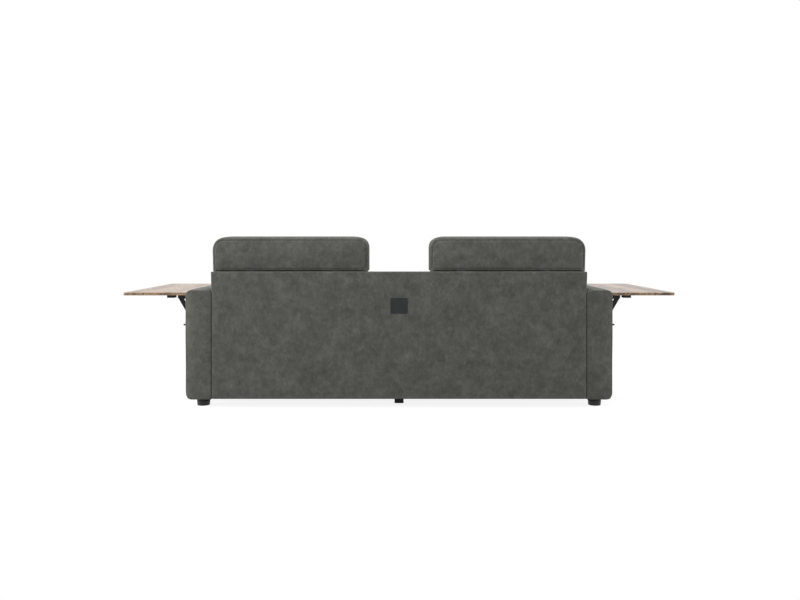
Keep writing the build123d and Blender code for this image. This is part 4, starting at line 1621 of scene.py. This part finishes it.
@dataclass
class Studio:
    """A white sweep, soft lamps and the camera behind the sofa."""

    eye: Triple = (0.0, 4.238, 0.837)
    lens: Pair = (33.75, 36.0)
    shift: Pair = (0.95 / 800, -59 / 800)
    sight: float = 100.0
    ambient: float = 0.53
    # The floor's half width, how far it lies under the feet, its own shade and its glow.
    ground: Pair = (40, 0.0004)
    pale: float = 0.2
    glow: float = 0.88
    # The floor turns white between these distances from the middle, which count less along the sofa.
    sweep: Pair = (1.1, 2.6)
    nearer: float = 0.7
    lamps: tuple[Lamp, ...] = (
        Lamp("key_lamp", (3.4, 4.6, 3.6), (0, 0.2, 0.4), 3.0, 142),
        Lamp("top_lamp", (0.0, 1.2, 4.2), (0, 0, 0.4), 3.0, 52),
        Lamp("front_lamp", (-0.8, -4.6, 4.4), (0, 0, 0.4), 3.0, 120),
        Lamp("left_lamp", (4.8, 0.65, 0.95), (0.6, 0.4, 0.4), 1.6, 162),
        Lamp("right_lamp", (-4.8, 0.65, 1.0), (-0.6, 0.4, 0.5), 1.6, 115),
    )

    def build(self) -> None:
        """Sets up floor, world, lamps and camera."""
        scene = bpy.context.scene
        scene.view_settings.view_transform = "Standard"
        self.floor()
        self.sky()
        for lamp in self.lamps:
            lamp.hang()
        data = bpy.data.cameras.new("camera")
        data.lens, data.sensor_width = self.lens
        data.shift_x, data.shift_y = self.shift
        data.clip_end = self.sight
        camera = placed("camera", data)
        camera.location = self.eye
        camera.rotation_euler = (math.radians(90), 0, math.radians(180))
        scene.camera = camera

    def floor(self) -> None:
        """Lays the pale floor, which shows white to the camera and keeps a soft shadow."""
        half, under = self.ground
        shape = Shape.sheet(Vector((-half, -half, -under)), Vector((half, half, -under)), Z)
        r = Recipe("floor")
        r.tree.nodes.remove(r.shader)
        looks = r.looks()
        base = r.add("BsdfDiffuse", Color=shaded(WHITE, self.pale))
        glow = r.add("Emission", Color=WHITE, Strength=r.times(looks, self.glow))
        both = r.add("AddShader", None, base.outputs[0], glow.outputs[0])
        white = r.add("Emission", Color=WHITE, Strength=1.0)
        away = r.add("VectorMath", {"operation": "LENGTH"}, r.turned((self.nearer, 1, 0)))
        fade = r.add("MapRange", {"interpolation_type": "SMOOTHSTEP"}, From_Min=self.sweep[0],
                     From_Max=self.sweep[1], Value=away.outputs["Value"])
        sweep = r.add("MixShader", None, r.times(fade.outputs[0], looks), both.outputs[0], white.outputs[0])
        r.fill(r.tree.nodes["Material Output"], Surface=sweep.outputs[0])
        dressed("floor", shape.poured(), r.material, smooth=False)

    def sky(self) -> None:
        """Gives a white world that lights evenly at the ambient level."""
        world = bpy.data.worlds.new("sky")
        bpy.context.scene.world = world
        world.use_nodes = True
        nodes = Nodes(world.node_tree)
        level = nodes.add("MapRange", Value=nodes.looks(), To_Min=self.ambient)
        nodes.fill(nodes.tree.nodes["Background"], Color=WHITE, Strength=level.outputs[0])


def paint_frame(finishes: Finishes) -> None:
    """Gives every carried-over node the finish of its material slot.

    Args:
        finishes: The materials by slot.
    """
    slots = {part["node"]: part["material_slot"] for part in frame["record"]["subparts"]}
    for name, node in frame["nodes"].items():
        node.data.materials.clear()
        node.data.materials.append(finishes[slots[name]])


def main() -> None:
    """Builds the studio and the sofa's dress."""
    logging.basicConfig(level=logging.INFO, format="%(name)s: %(message)s")
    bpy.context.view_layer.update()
    Studio().build()
    finishes = wardrobe()
    paint_frame(finishes)
    for part in (Headrest, SeatCushion, BackCushion, ConsoleRest, Console, Arm, BackPanel, FrontBorder,
                 Underside, Fittings):
        part(finishes).build()


if __name__ == "__main__":
    main()
